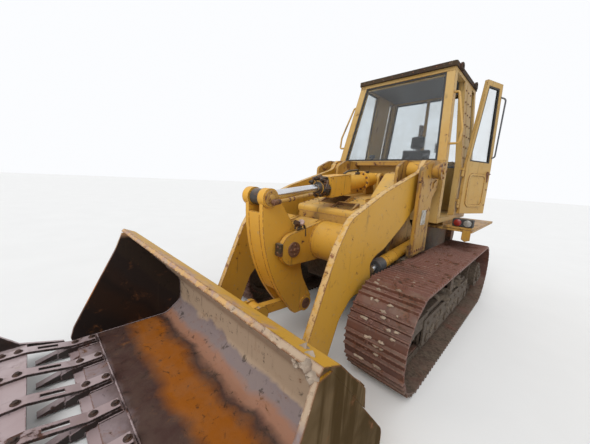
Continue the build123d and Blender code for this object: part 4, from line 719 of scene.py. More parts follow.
    def coat_all(self) -> None:
        """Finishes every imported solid."""
        self.coat(Look.ARMS, "lift_arms")
        self.coat(Look.CRANK, "bell_crank", "bucket_link", "tilt_barrel", "lift_barrels")
        self.coat(Look.HOOD, "front_hood", "engine_hood", "engine_door_left", "engine_door_right",
                  "rear_grille")
        self.coat(Look.TOWER, "lift_towers", "fenders")
        self.coat(Look.CAB, "cab_base", "cab_frame", "grab_handles", "left_door")
        self.coat(Look.ROOF, "cab_roof")
        self.coat(Look.BUCKET, "bucket_shell")
        self.coat(Look.EDGE, "cutting_edge", "levelling_plate")
        self.coat(Look.TRACK, "track_left", "track_right")
        self.coat(Look.UNDER, "hull", "cross_beams", "track_frame_left", "track_frame_right",
                  "final_drives",
                  "track_rollers", "carrier_rollers", "front_idlers", "sprockets", "rear_tank", "drawbar")
        self.coat(Look.PINS, "crank_pin", "link_pin", "bucket_pins", "tilt_pin", "tilt_piston")
        self.coat(Look.ROD, "lift_rods", "tilt_rod")
        self.coat(Look.CORE, "radiator")
        self.coat(Look.STACK, "exhaust", "engine", "pre_cleaner")
        self.coat(Look.GLASS, "windscreen", "rear_window", "side_windows", "door_glass")
        self.coat(Look.CLOTH, "seat_cushions")
        self.coat(Look.TRIM, "seat_stand", "consoles")


class Maker:
    """Gathers the small solids of one piece in one mesh."""

    def __init__(self, seed: int = 1) -> None:
        """Starts an empty mesh with its own repeatable dice."""
        self.mesh = bmesh.new()
        self.dice = random.Random(seed)

    def skin(self, rings: Sequence[Sequence[Vector]], joined: bool = False) -> None:
        """Joins rings of points into a closed skin.

        Args:
            rings: Rings with the same number of points.
            joined: True where the last ring meets the first.
        """
        made = [[self.mesh.verts.new(point) for point in ring] for ring in rings]
        count = len(made[0])
        pairs = list(zip(made, made[1:])) + ([(made[-1], made[0])] if joined else [])
        for low, high in pairs:
            for index in range(count):
                after = (index + 1) % count
                self.mesh.faces.new((low[index], low[after], high[after], high[index]))
        if not joined:
            self.mesh.faces.new(list(reversed(made[0])))
            self.mesh.faces.new(made[-1])

    def turned(self, centre: Vector, axis: Vector, profile: Sequence[tuple[float, float]], sides: int = 24,
               turn: float = 0.0) -> None:
        """Adds a solid of rings about an axis.

        Args:
            centre: Where distances along the axis start.
            axis: Its direction.
            profile: (distance along the axis, radius) of each ring.
            sides: Points in a ring.
            turn: Angle of the first point.
        """
        axis = Vector(axis).normalized()
        across = axis.orthogonal().normalized()
        up = axis.cross(across)
        angles = [turn + 2 * math.pi * index / sides for index in range(sides)]
        self.skin([[centre + axis * distance + (across * math.cos(angle) + up * math.sin(angle)) * radius
                    for angle in angles] for distance, radius in profile])

    def bolt(self, centre: Vector, axis: Vector, size: float = 0.012) -> None:
        """Adds a hexagon head on a washer."""
        self.turned(centre, axis, ((-0.002, size * 1.5), (size * 0.2, size * 1.5),
                                   (size * 0.3, size * 1.36)), 16)
        self.turned(centre, axis, ((size * 0.2, size), (size * 0.85, size), (size, size * 0.8)), 6,
                    self.dice.random())

    def ring_of_bolts(self, centre: Vector, axis: Vector, radius: float, count: int, size: float) -> None:
        """Adds bolts on a circle."""
        axis = Vector(axis).normalized()
        across = axis.orthogonal().normalized()
        up = axis.cross(across)
        for index in range(count):
            angle = 2 * math.pi * (index + 0.5) / count
            self.bolt(centre + (across * math.cos(angle) + up * math.sin(angle)) * radius, axis, size)

    @staticmethod
    def inset(outline: Sequence[Vector], normal: Vector, depth: float) -> list[Vector]:
        """Moves a flat closed outline inwards.

        Args:
            outline: Its points.
            normal: Square to its plane.
            depth: How far each side moves.

        Returns:
            The smaller outline.
        """
        area = Vector()
        for index, point in enumerate(outline):
            area += outline[index - 1].cross(point)
        sign = 1.0 if area.dot(normal) > 0 else -1.0
        moved = []
        for index, point in enumerate(outline):
            before = (point - outline[index - 1]).normalized()
            after = (outline[(index + 1) % len(outline)] - point).normalized()
            bisector = normal.cross(before) + normal.cross(after)
            moved.append(point + bisector * (sign * depth * 2 / max(bisector.length_squared, 0.4)))
        return moved

    def plate(self, outline: Sequence[Vector], thickness: Vector, chamfer: float = 0.002) -> None:
        """Adds a plate with chamfered edges.

        Args:
            outline: Points of its first face.
            thickness: From the first face to the second.
            chamfer: Width of the chamfer.
        """
        normal = thickness.normalized()
        small = self.inset(outline, normal, chamfer)
        self.skin([small, [point + normal * chamfer for point in outline],
                   [point + thickness - normal * chamfer for point in outline],
                   [point + thickness for point in small]])

    def box(self, centre: Vector, size: Sequence[float], turn: Optional[Matrix] = None,
            chamfer: float = 0.003) -> None:
        """Adds a block with chamfered edges."""
        turn = turn or Matrix.Identity(3)
        x, y, z = (turn @ Vector(side) / 2 for side in ((size[0], 0, 0), (0, size[1], 0), (0, 0, size[2])))
        self.plate([centre - x - y - z, centre + x - y - z, centre + x + y - z, centre - x + y - z], z * 2,
                   chamfer)

    def band(self, outline: Sequence[Vector], depth: Vector, width: float) -> None:
        """Adds a flat frame inside an outline.

        Args:
            outline: Its outer points.
            depth: Its thickness and direction.
            width: Width of its border.
        """
        inner = self.inset(outline, depth.normalized(), width)
        self.skin([list(outline), [point + depth for point in outline], [point + depth for point in inner],
                   inner], True)

    def tube(self, route: Sequence[Vector], radius: float, sides: int = 10, wave: float = 0.0,
             joined: bool = False) -> None:
        """Adds a round bar along a route.

        Args:
            route: Points of its middle line.
            radius: Its radius.
            sides: Points round it.
            wave: Share by which its radius ripples.
            joined: True for a closed ring.
        """
        across = (route[1] - route[0]).orthogonal().normalized()
        rings = []
        last = len(route) - 1
        for index, point in enumerate(route):
            before = route[index - 1] if joined or index else route[0]
            after = route[(index + 1) % len(route)] if joined or index < last else route[last]
            heading = (after - before).normalized()
            across = (across - heading * across.dot(heading)).normalized()
            up = heading.cross(across)
            size = radius * (1 + wave * math.sin(index * 2.4) + wave * 0.5 * math.sin(index * 0.9))
            rings.append([point + (across * math.cos(2 * math.pi * side / sides)
                                   + up * math.sin(2 * math.pi * side / sides)) * size for side in range(sides)])
        self.skin(rings, joined)

    def pipe(self, corners: Sequence[Vector], radius: float, bend: float = 0.04) -> None:
        """Adds a pipe with rounded corners.

        Args:
            corners: Ends and corners of its route.
            radius: Its radius.
            bend: How far before a corner its bend starts.
        """
        route = [corners[0]]
        for before, corner, after in zip(corners, corners[1:], corners[2:]):
            reach = min(bend, (before - corner).length * 0.45, (after - corner).length * 0.45)
            start = corner + (before - corner).normalized() * reach
            end = corner + (after - corner).normalized() * reach
            for step in range(6):
                share = step / 5
                route.append(start.lerp(corner, share).lerp(corner.lerp(end, share), share))
        route.append(corners[-1])
        self.tube(route, radius, 12)

    def bead(self, route: Sequence[Vector], radius: float = 0.006, joined: bool = False) -> None:
        """Adds a rippled weld bead along straight runs."""
        runs = list(zip(route, route[1:])) + ([(route[-1], route[0])] if joined else [])
        points = []
        for start, end in runs:
            count = max(1, int((end - start).length / (radius * 1.7)))
            points += [start.lerp(end, step / count) for step in range(count)]
        if not joined:
            points.append(route[-1])
        self.tube(points, radius, 6, 0.16, joined)

    def circle(self, centre: Vector, axis: Vector, radius: float, count: int = 40) -> list[Vector]:
        """Points of a circle about an axis."""
        axis = Vector(axis).normalized()
        across = axis.orthogonal().normalized()
        up = axis.cross(across)
        return [centre + (across * math.cos(2 * math.pi * index / count)
                          + up * math.sin(2 * math.pi * index / count)) * radius for index in range(count)]

    def clod(self, centre: Vector, size: Sequence[float], ragged: float = 0.5) -> None:
        """Adds a lump of mud or rubble, a ball pushed in and out by noise."""
        made = bmesh.ops.create_icosphere(self.mesh, subdivisions=2, radius=1.0)["verts"]
        shift = Vector([self.dice.uniform(0, 50) for _ in range(3)])
        for vert in made:
            swell = 1 + ragged * noise.noise(vert.co * 1.6 + shift)
            vert.co = centre + Vector([vert.co[axis] * size[axis] for axis in range(3)]) * swell

    def piece(self, name: str, body: str, look: Look, slot: str, shop: Paintshop,
              crease: float = 35.0) -> bpy.types.Object:
        """Turns what was gathered into a piece.

        Args:
            name: The piece's name.
            body: The body it moves with.
            look: Its finish.
            slot: Not used.
            shop: Where finishes are made.
            crease: Angle over which an edge stays sharp.

        Returns:
            The piece.
        """
        bmesh.ops.recalc_face_normals(self.mesh, faces=self.mesh.faces)
        for face in self.mesh.faces:
            face.smooth = True
        data = bpy.data.meshes.new(name)
        self.mesh.to_mesh(data)
        self.mesh.free()
        data.set_sharp_from_angle(angle=math.radians(crease))
        data.materials.append(shop.get(look))
        made = bpy.data.objects.new(name, data)
        bpy.context.scene.collection.objects.link(made)
        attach(made, body)
        log.info("%s rides on %s with %d faces", name, body, len(data.polygons))
        return made


@dataclass
class Studio:
    """Camera at the photograph's place, a soft sun, an even sky and a pale floor."""

    place: tuple[float, float, float] = (1.6556, -2.6501, 1.6246)
    yaw: float = 0.77261
    pitch: float = 0.16669
    roll: float = 0.05730
    lens: float = 15.709
    sky: float = 0.70
    sun: float = 1.72
    sunlight: tuple[float, float, float] = (-0.16, 0.68, -0.70)

    def build(self) -> None:
        """Makes the camera, the sun, the sky and the floor."""
        ahead = Vector((-math.sin(self.yaw) * math.cos(self.pitch),
                        math.cos(self.yaw) * math.cos(self.pitch),
                        -math.sin(self.pitch)))
        level = Vector((math.cos(self.yaw), math.sin(self.yaw), 0.0))
        upright = level.cross(ahead)
        right = level * math.cos(self.roll) + upright * math.sin(self.roll)
        up = upright * math.cos(self.roll) - level * math.sin(self.roll)
        data = bpy.data.cameras.new("photo_camera")
        data.lens = self.lens
        data.sensor_width = 36.0
        data.clip_end = 300.0
        camera = bpy.data.objects.new("photo_camera", data)
        turn = Matrix((right, up, -ahead)).transposed().to_4x4()
        camera.matrix_world = Matrix.Translation(self.place) @ turn
        bpy.context.scene.collection.objects.link(camera)
        bpy.context.scene.camera = camera
        self._sun()
        self._sky()
        self._floor()
        bpy.context.scene.view_settings.view_transform = "Standard"

    def _sun(self) -> None:
        """Adds a broad sun from the front."""
        lamp = bpy.data.lights.new("soft_sun", "SUN")
        lamp.energy = self.sun
        lamp.angle = math.radians(36.0)
        holder = bpy.data.objects.new("soft_sun", lamp)
        holder.rotation_euler = Vector(self.sunlight).to_track_quat("-Z", "Y").to_euler()
        bpy.context.scene.collection.objects.link(holder)

    def _sky(self) -> None:
        """Adds an even sky that looks white to the camera, in gloss and through glass."""
        world = bpy.data.worlds.new("even_sky")
        world.use_nodes = True
        graph = Graph(world.node_tree)
        path = graph.add("ShaderNodeLightPath")
        seen = graph.sum("MAXIMUM", path.outputs["Is Camera Ray"], path.outputs["Is Transmission Ray"])
        seen = graph.sum("MAXIMUM", seen, path.outputs["Is Glossy Ray"])
        strength = graph.fade(seen, 0.0, 1.0, self.sky, 1.0)
        back = graph.add("ShaderNodeBackground", {"Color": (0.97, 0.98, 1.0), "Strength": strength})
        graph.add("ShaderNodeOutputWorld", {"Surface": back.outputs[0]})
        bpy.context.scene.world = world

    def _floor(self) -> None:
        """Adds a wide pale floor under the tracks."""
        mesh = bpy.data.meshes.new("floor")
        mesh.from_pydata([(-60, -60, 0), (60, -60, 0), (60, 60, 0), (-60, 60, 0)], [], [(0, 1, 2, 3)])
        material, graph = new_material("pale_floor")
        cloud = graph.noise(graph.place(), 1.2, 6.0)
        colour = graph.mix(cloud, (0.80, 0.80, 0.79), (0.86, 0.86, 0.85))
        shader = graph.add("ShaderNodeBsdfPrincipled", {"Base Color": colour, "Roughness": 0.9})
        graph.add("ShaderNodeOutputMaterial", {"Surface": shader.outputs[0]})
        mesh.materials.append(material)
        floor = bpy.data.objects.new("floor", mesh)
        bpy.context.scene.collection.objects.link(floor)


@dataclass
class Track:
    """Shoe bolts, chain links, pins and packed mud of one track."""

    shop: Paintshop
    side: int
    name: str
    middle: float = 0.900
    wheel_base: float = 2.316
    axle_height: float = 0.420
    pin_radius: float = 0.336
    plate_radius: float = 0.396
    shoes: int = 38
    first_shoe: float = 0.0045665
    rail_out: float = 0.075

    def __post_init__(self) -> None:
        """Works out the loop's length and the shoe pitch."""
        self.loop = 2 * self.wheel_base + 2 * math.pi * self.pin_radius
        self.pitch = self.loop / self.shoes

    def heading(self, index: float) -> tuple[float, float, float]:
        """Place and direction of the chain at a shoe.

        Args:
            index: Number of the shoe, with parts of a shoe between.

        Returns:
            Distance behind the idler, height and direction.
        """
        run = (self.first_shoe + index * self.pitch) % self.loop
        arc = math.pi * self.pin_radius
        if run < self.wheel_base:
            return self.wheel_base - run, self.axle_height + self.pin_radius, math.pi
        if run < self.wheel_base + arc:
            angle = math.pi + (run - self.wheel_base) / self.pin_radius
            return (self.pin_radius * math.sin(angle), self.axle_height - self.pin_radius * math.cos(angle),
                    angle)
        if run < 2 * self.wheel_base + arc:
            return run - self.wheel_base - arc, self.axle_height - self.pin_radius, 2 * math.pi
        angle = (run - 2 * self.wheel_base - arc) / self.pin_radius
        return (self.wheel_base + self.pin_radius * math.sin(angle),
                self.axle_height - self.pin_radius * math.cos(angle), angle)

    def on_shoe(self, index: float, forward: float, radius: float, across: float) -> Vector:
        """Place on a shoe: along it, out from the axle line and across the track."""
        back, height, turn = self.heading(index)
        rise = radius - self.pin_radius
        return spot(self.side * self.middle + across,
                    back + forward * math.cos(turn) + rise * math.sin(turn),
                    height + forward * math.sin(turn) - rise * math.cos(turn))

    def outward(self, index: float) -> Vector:
        """Direction out of a shoe's face."""
        turn = self.heading(index)[2]
        return Vector((0.0, math.sin(turn), -math.cos(turn)))

    def build(self) -> None:
        """Makes the bolts, the links and the mud."""
        bolts, links, mud = Maker(3), Maker(4), Maker(5 + self.side)
        half = self.pitch / 2
        for shoe in range(self.shoes):
            out = self.outward(shoe)
            for across in (-0.0575, 0.0575):
                for forward in (-0.0289, 0.0289):
                    bolts.bolt(self.on_shoe(shoe, forward, self.plate_radius, across), out, 0.010)
            for way in (-1, 1):
                self._link(links, shoe, way, half)
            for _ in range(8):
                forward = mud.dice.choice((-0.076, -0.029, 0.029, 0.076)) + mud.dice.uniform(-0.008, 0.008)
                across = max(-0.22, min(0.22, mud.dice.gauss(-0.02, 0.085)))
                place = self.on_shoe(shoe, forward, self.plate_radius + 0.001, across)
                wide = mud.dice.uniform(0.010, 0.030)
                mud.clod(place, (wide, min(wide, 0.013), min(wide, 0.012)), 0.9)
        bolts.piece(f"shoe_bolts_{self.name}", "chassis", Look.TRACK, "track_steel", self.shop)
        links.piece(f"chain_links_{self.name}", "chassis", Look.UNDER, "track_steel", self.shop)
        mud.piece(f"shoe_mud_{self.name}", "chassis", Look.PALE_MUD, "track_steel", self.shop, 80.0)

    def _link(self, links: Maker, shoe: int, way: int, half: float) -> None:
        """Adds one chain link and its pin end on one side of the chain."""
        depth = 0.006 if shoe % 2 else 0.009
        outline = ((-half - 0.016, 0.318), (-half + 0.026, 0.306), (half - 0.026, 0.306),
                   (half + 0.016, 0.318),
                   (half + 0.016, 0.356), (half - 0.018, 0.378), (-half + 0.018, 0.378),
                   (-half - 0.016, 0.356))
        links.plate([self.on_shoe(shoe, forward, radius, way * self.rail_out) for forward,
                     radius in outline],
                    Vector((way * depth, 0.0, 0.0)))
        links.turned(self.on_shoe(shoe + 0.5, 0.0, self.pin_radius, way * self.rail_out),
                     Vector((way, 0, 0)),
                     ((0.0, 0.023), (0.013, 0.023), (0.015, 0.019)), 16)


@dataclass
class Undercarriage:
    """Bolts, caps and mud on the track frames, idlers and final drives."""

    shop: Paintshop
    middle: float = 0.900
    axle_height: float = 0.420
    wheel_base: float = 2.316
    guard_out: float = 0.128

    def build(self) -> None:
        """Makes the bolts and caps of both sides, and the mud."""
        bolts, caps, mud = Maker(11), Maker(12), Maker(13)
        for side in (-1, 1):
            face = side * (self.middle + self.guard_out)
            out = Vector((side, 0, 0))
            for number in range(9):
                bolts.bolt(spot(face, 0.42 + number * 0.185, 0.375), out, 0.013)
            for number in range(6):
                place = spot(face, 0.43 + number * 0.294, 0.222)
                caps.turned(place, out, ((0.0, 0.044), (0.010, 0.044), (0.015, 0.036)), 20)
                bolts.ring_of_bolts(place + out * 0.011, out, 0.026, 3, 0.006)
            idler = spot(side * (self.middle + 0.129), 0.0, self.axle_height)
            caps.turned(idler, out, ((0.0, 0.040), (0.014, 0.040), (0.020, 0.030)), 20)
            bolts.ring_of_bolts(idler, out, 0.050, 4, 0.008)
            drive = spot(0.0, self.wheel_base, self.axle_height)
            for distance, radius, count, size in ((1.000, 0.205, 16, 0.011), (1.075, 0.146, 12, 0.009),
                                                  (1.100, 0.068, 6, 0.008), (0.930, 0.262, 20, 0.012)):
                bolts.ring_of_bolts(drive + out * distance, out, radius, count, size)
            caps.turned(drive + out * 1.100, out, ((0.0, 0.030), (0.012, 0.030), (0.016, 0.020)), 6)
            for _ in range(46):
                across = side * (self.middle + mud.dice.uniform(-0.09, 0.09))
                size = mud.dice.uniform(0.025, 0.075)
                mud.clod(spot(across, mud.dice.uniform(0.48, 1.82), 0.478), (size, size * 1.3, size * 0.55),
                         0.9)
            for _ in range(30):
                size = mud.dice.uniform(0.012, 0.035)
                mud.clod(spot(face, mud.dice.uniform(0.36, 1.96), mud.dice.uniform(0.20, 0.42)),
                         (size * 0.35, size * 1.4, size), 0.9)
            for _ in range(40):
                size = mud.dice.uniform(0.02, 0.06)
                mud.clod(spot(side * mud.dice.uniform(0.40, 0.64), mud.dice.uniform(0.82, 1.04), 0.766),
                         (size, size, size * 0.6), 0.9)
        bolts.piece("undercarriage_bolts", "chassis", Look.UNDER, "frame_steel", self.shop)
        caps.piece("undercarriage_caps", "chassis", Look.UNDER, "frame_steel", self.shop)
        mud.piece("undercarriage_mud", "chassis", Look.MUD, "frame_steel", self.shop, 80.0)


@dataclass
class Bucket:
    """Tooth bolts, welds, the torn rear edge and the battered corner of the bucket."""

    shop: Paintshop
    teeth: int = 8
    pitch: float = 0.3135
    half: float = 1.216
    strap_top: float = 0.106

    def build(self) -> None:
        """Makes the bolts, welds, torn edge and damage."""
        bolts, welds, torn, rubble = Maker(21), Maker(22), Maker(23), Maker(24)
        up = Vector((0, 0, 1))
        for tooth in range(self.teeth):
            x = (tooth - (self.teeth - 1) / 2) * self.pitch
            for back, height in ((-1.800, self.strap_top), (-1.915, self.strap_top), (-2.250, 0.170),
                                 (-2.340, 0.170)):
                bolts.bolt(spot(x, back, height), up, 0.017)
            welds.bead([spot(x - 0.044, -1.900, 0.056), spot(x - 0.044, -1.765, 0.056),
                        spot(x + 0.044, -1.765, 0.056), spot(x + 0.044, -1.900, 0.056)], 0.007)
        welds.bead([spot(-self.half, -1.748, 0.054), spot(self.half, -1.748, 0.054)], 0.006)
        inside = rounded(((-1.90, 0.054), (-1.115, 0.054, 0.136), (-0.959, 0.176, 0.096),
                          (-0.959, 0.420, 0.106), (-1.435, 0.998)))
        for side in (-1, 1):
            welds.bead([spot(side * self.half, back, height) for back, height in inside], 0.008)
            for plate in (0.508, 0.538, 0.650, 0.680):
                welds.bead([spot(side * plate, -0.943, 0.190), spot(side * plate, -0.943, 0.415)], 0.008)
            welds.bead([spot(side * 0.096, -0.943, 0.320), spot(side * 0.096, -0.946, 0.430),
                        spot(side * 0.096, -1.030, 0.536)], 0.007)
        self._torn_edge(torn)
        for _ in range(26):
            place = spot(rubble.dice.uniform(1.10, 1.212), rubble.dice.uniform(-1.50, -1.40),
                         rubble.dice.uniform(0.99, 1.035))
            size = rubble.dice.uniform(0.008, 0.024)
            rubble.clod(place, (size, size, size * 0.8), 0.9)
        bolts.piece("tooth_bolts", "bucket", Look.BOLTS, "edge_steel", self.shop)
        welds.piece("bucket_welds", "bucket", Look.EDGE, "bucket_paint", self.shop)
        torn.piece("torn_rear_edge", "bucket", Look.BUCKET, "bucket_paint", self.shop)
        rubble.piece("corner_rubble", "bucket", Look.PALE_MUD, "bucket_paint", self.shop, 80.0)

    def _torn_edge(self, torn: Maker) -> None:
        """Adds the ragged sheets behind the sloped rear rail, clear of the crank and the arms."""
        lift = Vector((0.0, 0.0038, 0.0036))
        for left, right in ((-1.235, -0.72), (-0.49, -0.17), (0.17, 0.49), (0.72, 1.235)):
            count = int((right - left) / 0.012)
            rings = []
            for step in range(count + 1):
                x = left + (right - left) * step / count
                ends = min(1.0, step / 4, (count - step) / 4)
                ragged = 0.018 + 0.085 * abs(noise.noise(Vector((x * 4.0, 3.1, 0.4)))) \
                    + 0.030 * abs(noise.noise(Vector((x * 27.0, 1.7, 0.2))))
                curl = 0.030 * noise.noise(Vector((x * 5.0, 9.0, 2.0)))
                reach = ragged * ends
                high = spot(x, -1.215, 0.840)
                low = spot(x, -1.178 + reach * 0.72, 0.800 - reach * 0.55 + curl * ends)
                rings.append([high, low, low + lift, high + lift])
            torn.skin(rings)


@dataclass
class Linkage:
    """Boss rings, pin bolts, welds, the positioner rod and the stops of the Z-bar linkage."""

    shop: Paintshop
    top: tuple[float, float] = (-0.790, 1.465)
    pivot: tuple[float, float] = (-0.550, 1.030)
    foot: tuple[float, float] = (-0.290, 0.440)
    front: tuple[float, float] = (-0.805, 0.480)

    def build(self) -> None:
        """Makes the pieces on the crank, the arms' ears and the tilt rod."""
        rings, bolts, seams = Maker(31), Maker(32), Maker(33)
        for side in (-1, 1):
            out = Vector((side, 0, 0))
            rings.turned(spot(side * 0.140, *self.top), out,
                         ((0.0, 0.064), (0.010, 0.064), (0.013, 0.060), (0.013, 0.034), (0.024, 0.032),
                          (0.027, 0.027)), 28)
            bolts.ring_of_bolts(spot(side * 0.150, *self.top), out, 0.049, 3, 0.007)
            bolts.ring_of_bolts(spot(side * 0.132, *self.foot), out, 0.032, 3, 0.007)
            line = rounded(((-0.850, 1.475), (-0.830, 0.868, 1.380), (-0.430, 0.372)), 10)
            seams.bead([spot(side * 0.068, back - 0.001, height) for back, height in line[1:-1]], 0.004)
            seams.bead(rings.circle(spot(side * 0.114, *self.pivot), out, 0.121, 30), 0.005, True)
        rings.piece("crank_boss_rings", "bell_crank", Look.TOWER, "yellow_paint", self.shop)
        bolts.piece("crank_bolts", "bell_crank", Look.PINS, "pin_steel", self.shop)
        seams.piece("crank_seams", "bell_crank", Look.CRANK, "yellow_paint", self.shop)
        self._ears()
        self._positioner()

    def _ears(self) -> None:
        """Makes the pin bolts, grease fittings and stop blocks on the arms' ears."""
        bolts, stops = Maker(34), Maker(35)
        for side in (-1, 1):
            out = Vector((side, 0, 0))
            cap = spot(side * 0.190, *self.pivot)
            bolts.ring_of_bolts(cap, out, 0.040, 4, 0.009)
            bolts.turned(cap, out, ((0.0, 0.016), (0.009, 0.015), (0.014, 0.006)), 10)
            stops.box(spot(side * 0.1545, -0.697, 1.045), (0.060, 0.030, 0.110), chamfer=0.006)
            bolts.bolt(spot(side * 0.1545, -0.712, 1.070), Vector((0, -1, 0)), 0.008)
            bolts.bolt(spot(side * 0.1545, -0.712, 1.020), Vector((0, -1, 0)), 0.008)
        bolts.piece("ear_bolts", "arms", Look.PINS, "pin_steel", self.shop)
        stops.piece("ear_stops", "arms", Look.GLAND, "dark_metal", self.shop)
        self._hose_ends()

    def _hose_ends(self) -> None:
        """Makes the greasy hose fittings and the pale cap above the ears."""
        dark, cap = Maker(39), Maker(30)
        base = spot(0.155, -0.470, 1.150)
        dark.pipe([base, base + Vector((0, 0, 0.085)), base + Vector((0, -0.040, 0.105))], 0.012, 0.03)
        dark.pipe([base + Vector((0.018, 0.06, -0.02)), base + Vector((0.012, 0.05, 0.08)),
                   base + Vector((0.0, -0.010, 0.090))], 0.010, 0.03)
        for step in range(3):
            dark.turned(base + Vector((0, -0.012 - 0.018 * step, 0.094 + 0.006 * step)),
                        Vector((0, -1, 0.3)),
                        ((0.0, 0.024), (0.012, 0.024)), 6)
        for _ in range(16):
            size = dark.dice.uniform(0.006, 0.014)
            dark.clod(base + Vector((dark.dice.uniform(-0.016, 0.02), dark.dice.uniform(-0.05, 0.05),
                                     dark.dice.uniform(0.04, 0.12))), (size, size, size), 0.9)
        cap.turned(base + Vector((0.004, 0.016, 0.098)), Vector((0.55, -0.55, 0.62)),
                   ((0.0, 0.026), (0.018, 0.028), (0.026, 0.024), (0.030, 0.012)), 24)
        dark.piece("hose_fittings", "arms", Look.GLAND, "dark_metal", self.shop)
        cap.piece("hose_cap", "arms", Look.PINK_CAP, "dark_metal", self.shop)

    def _positioner(self) -> None:
        """Makes the thin rod beside the tilt cylinder, with its rusty clevis at the crank's pin."""
        start, end = spot(0.176, -0.752, 1.441), spot(0.152, -0.330, 1.496)
        rod, clevis = Maker(36), Maker(37)
        rod.tube([start, start.lerp(end, 0.5), end], 0.015, 14)
        way = (end - start).normalized()
        clevis.turned(start - way * 0.052, way, ((0.0, 0.012), (0.004, 0.022), (0.070, 0.022),
                                                 (0.078, 0.016)), 14)
        clevis.turned(spot(0.167, -0.790, 1.440), Vector((1, 0, 0)),
                      ((0.0, 0.022), (0.016, 0.022), (0.019, 0.016)),
                      20)
        for distance in (0.12, 0.17):
            clevis.turned(start + way * distance, way, ((0.0, 0.020), (0.014, 0.020)), 6)
        sleeve = Maker(38)
        sleeve.turned(spot(-0.049, *self.top), Vector((1, 0, 0)),
                      ((-0.004, 0.060), (0.000, 0.0675), (0.098, 0.0675), (0.102, 0.060)), 36)
        sleeve.piece("tilt_eye_sleeve", "tilt_rod", Look.GLAND, "dark_metal", self.shop)
        rod.piece("positioner_rod", "tilt_rod", Look.TOWER, "yellow_paint", self.shop)
        clevis.piece("positioner_clevis", "tilt_rod", Look.PINS, "pin_steel", self.shop)


@dataclass
class Arms:
    """Welds and grease fittings of the lift arms, and their cylinders' trim."""

    shop: Paintshop
    inner: float = 0.566
    tube: tuple[float, float] = (-0.160, 1.067)
    tube_radius: float = 0.180
    cylinder_x: float = 0.492
    gland_radius: float = 0.0692
    rear: tuple[float, float] = (1.400, 0.905)
    front: tuple[float, float] = (-0.060, 0.740)

    def build(self) -> None:
        """Makes the welds, fittings and the cylinders' trim."""
        welds, fittings = Maker(41), Maker(42)
        for side in (-1, 1):
            out = Vector((side, 0, 0))
            for x in (self.inner - 0.004, 0.132, 0.177):
                welds.bead(welds.circle(spot(side * x, *self.tube), out, self.tube_radius + 0.002, 48),
                           0.008, True)
            welds.bead(welds.circle(spot(side * 0.564, -0.735, 0.235), out, 0.087, 30), 0.005, True)
            fittings.turned(spot(side * 0.600, -0.735, 0.321), Vector((0, 0, 1)),
                            ((-0.004, 0.009), (0.010, 0.008), (0.018, 0.004)), 8)
            fittings.turned(spot(side * 0.550, 1.065, 1.889), Vector((0, 0, 1)),
                            ((-0.004, 0.010), (0.012, 0.009), (0.020, 0.004)), 8)
        welds.piece("arm_welds", "arms", Look.ARMS, "yellow_paint", self.shop)
        fittings.piece("arm_grease_fittings", "arms", Look.PINS, "pin_steel", self.shop)
        self._cylinders()

    def _cylinders(self) -> None:
        """Makes the dark gland sleeves, pipes and painted forks of the lift cylinders."""
        glands, pipes, forks = Maker(43), Maker(44), Maker(45)
        for side in (-1, 1):
            x = side * self.cylinder_x
            start, end = spot(x, *self.rear), spot(x, *self.front)
            way = (end - start).normalized()
            up = Vector((0, 0, 1))
            glands.turned(start + way * 0.950, way, ((0.0, 0.062), (0.004, self.gland_radius),
                                                     (0.098, self.gland_radius),
                                                     (0.104, 0.0658), (0.110, 0.0658),
                                                     (0.115, self.gland_radius),
                                                     (0.130, self.gland_radius), (0.136, 0.064)), 36)
            pipes.pipe([start + way * 0.59 - up * 0.052, start + way * 0.62 - up * 0.080,
                        start + way * 0.96 - up * 0.080, start + way * 0.99 - up * 0.050], 0.009)
            for distance in (0.66, 0.86):
                pipes.turned(start + way * distance, way, ((0.0, 0.0645), (0.024, 0.0645)), 30)
                pipes.box(start + way * (distance + 0.012) - up * 0.074, (0.030, 0.026, 0.026))
            length = (end - start).length
            forks.turned(start + way * (length - 0.300), way, ((0.0, 0.036), (0.010, 0.044), (0.180, 0.046),
                                                             (0.225, 0.050), (0.260, 0.050)), 28)
            for height in (-0.016, 0.0, 0.016):
                forks.bead([start + way * (length - 0.280) + up * (0.044 + height * 0.2) + Vector((height,
                                                                      0, 0)),
                            start + way * (length - 0.110) + up * (0.046 + height * 0.2) + Vector((height,
                                                                      0, 0))],
                           0.003)
        glands.piece("lift_gland_sleeves", "lift_barrels", Look.GREY_GLAND, "dark_metal", self.shop)
        pipes.piece("lift_cylinder_pipes", "lift_barrels", Look.CRANK, "yellow_paint", self.shop)
        forks.piece("lift_rod_forks", "lift_rods", Look.TOWER, "yellow_paint", self.shop)


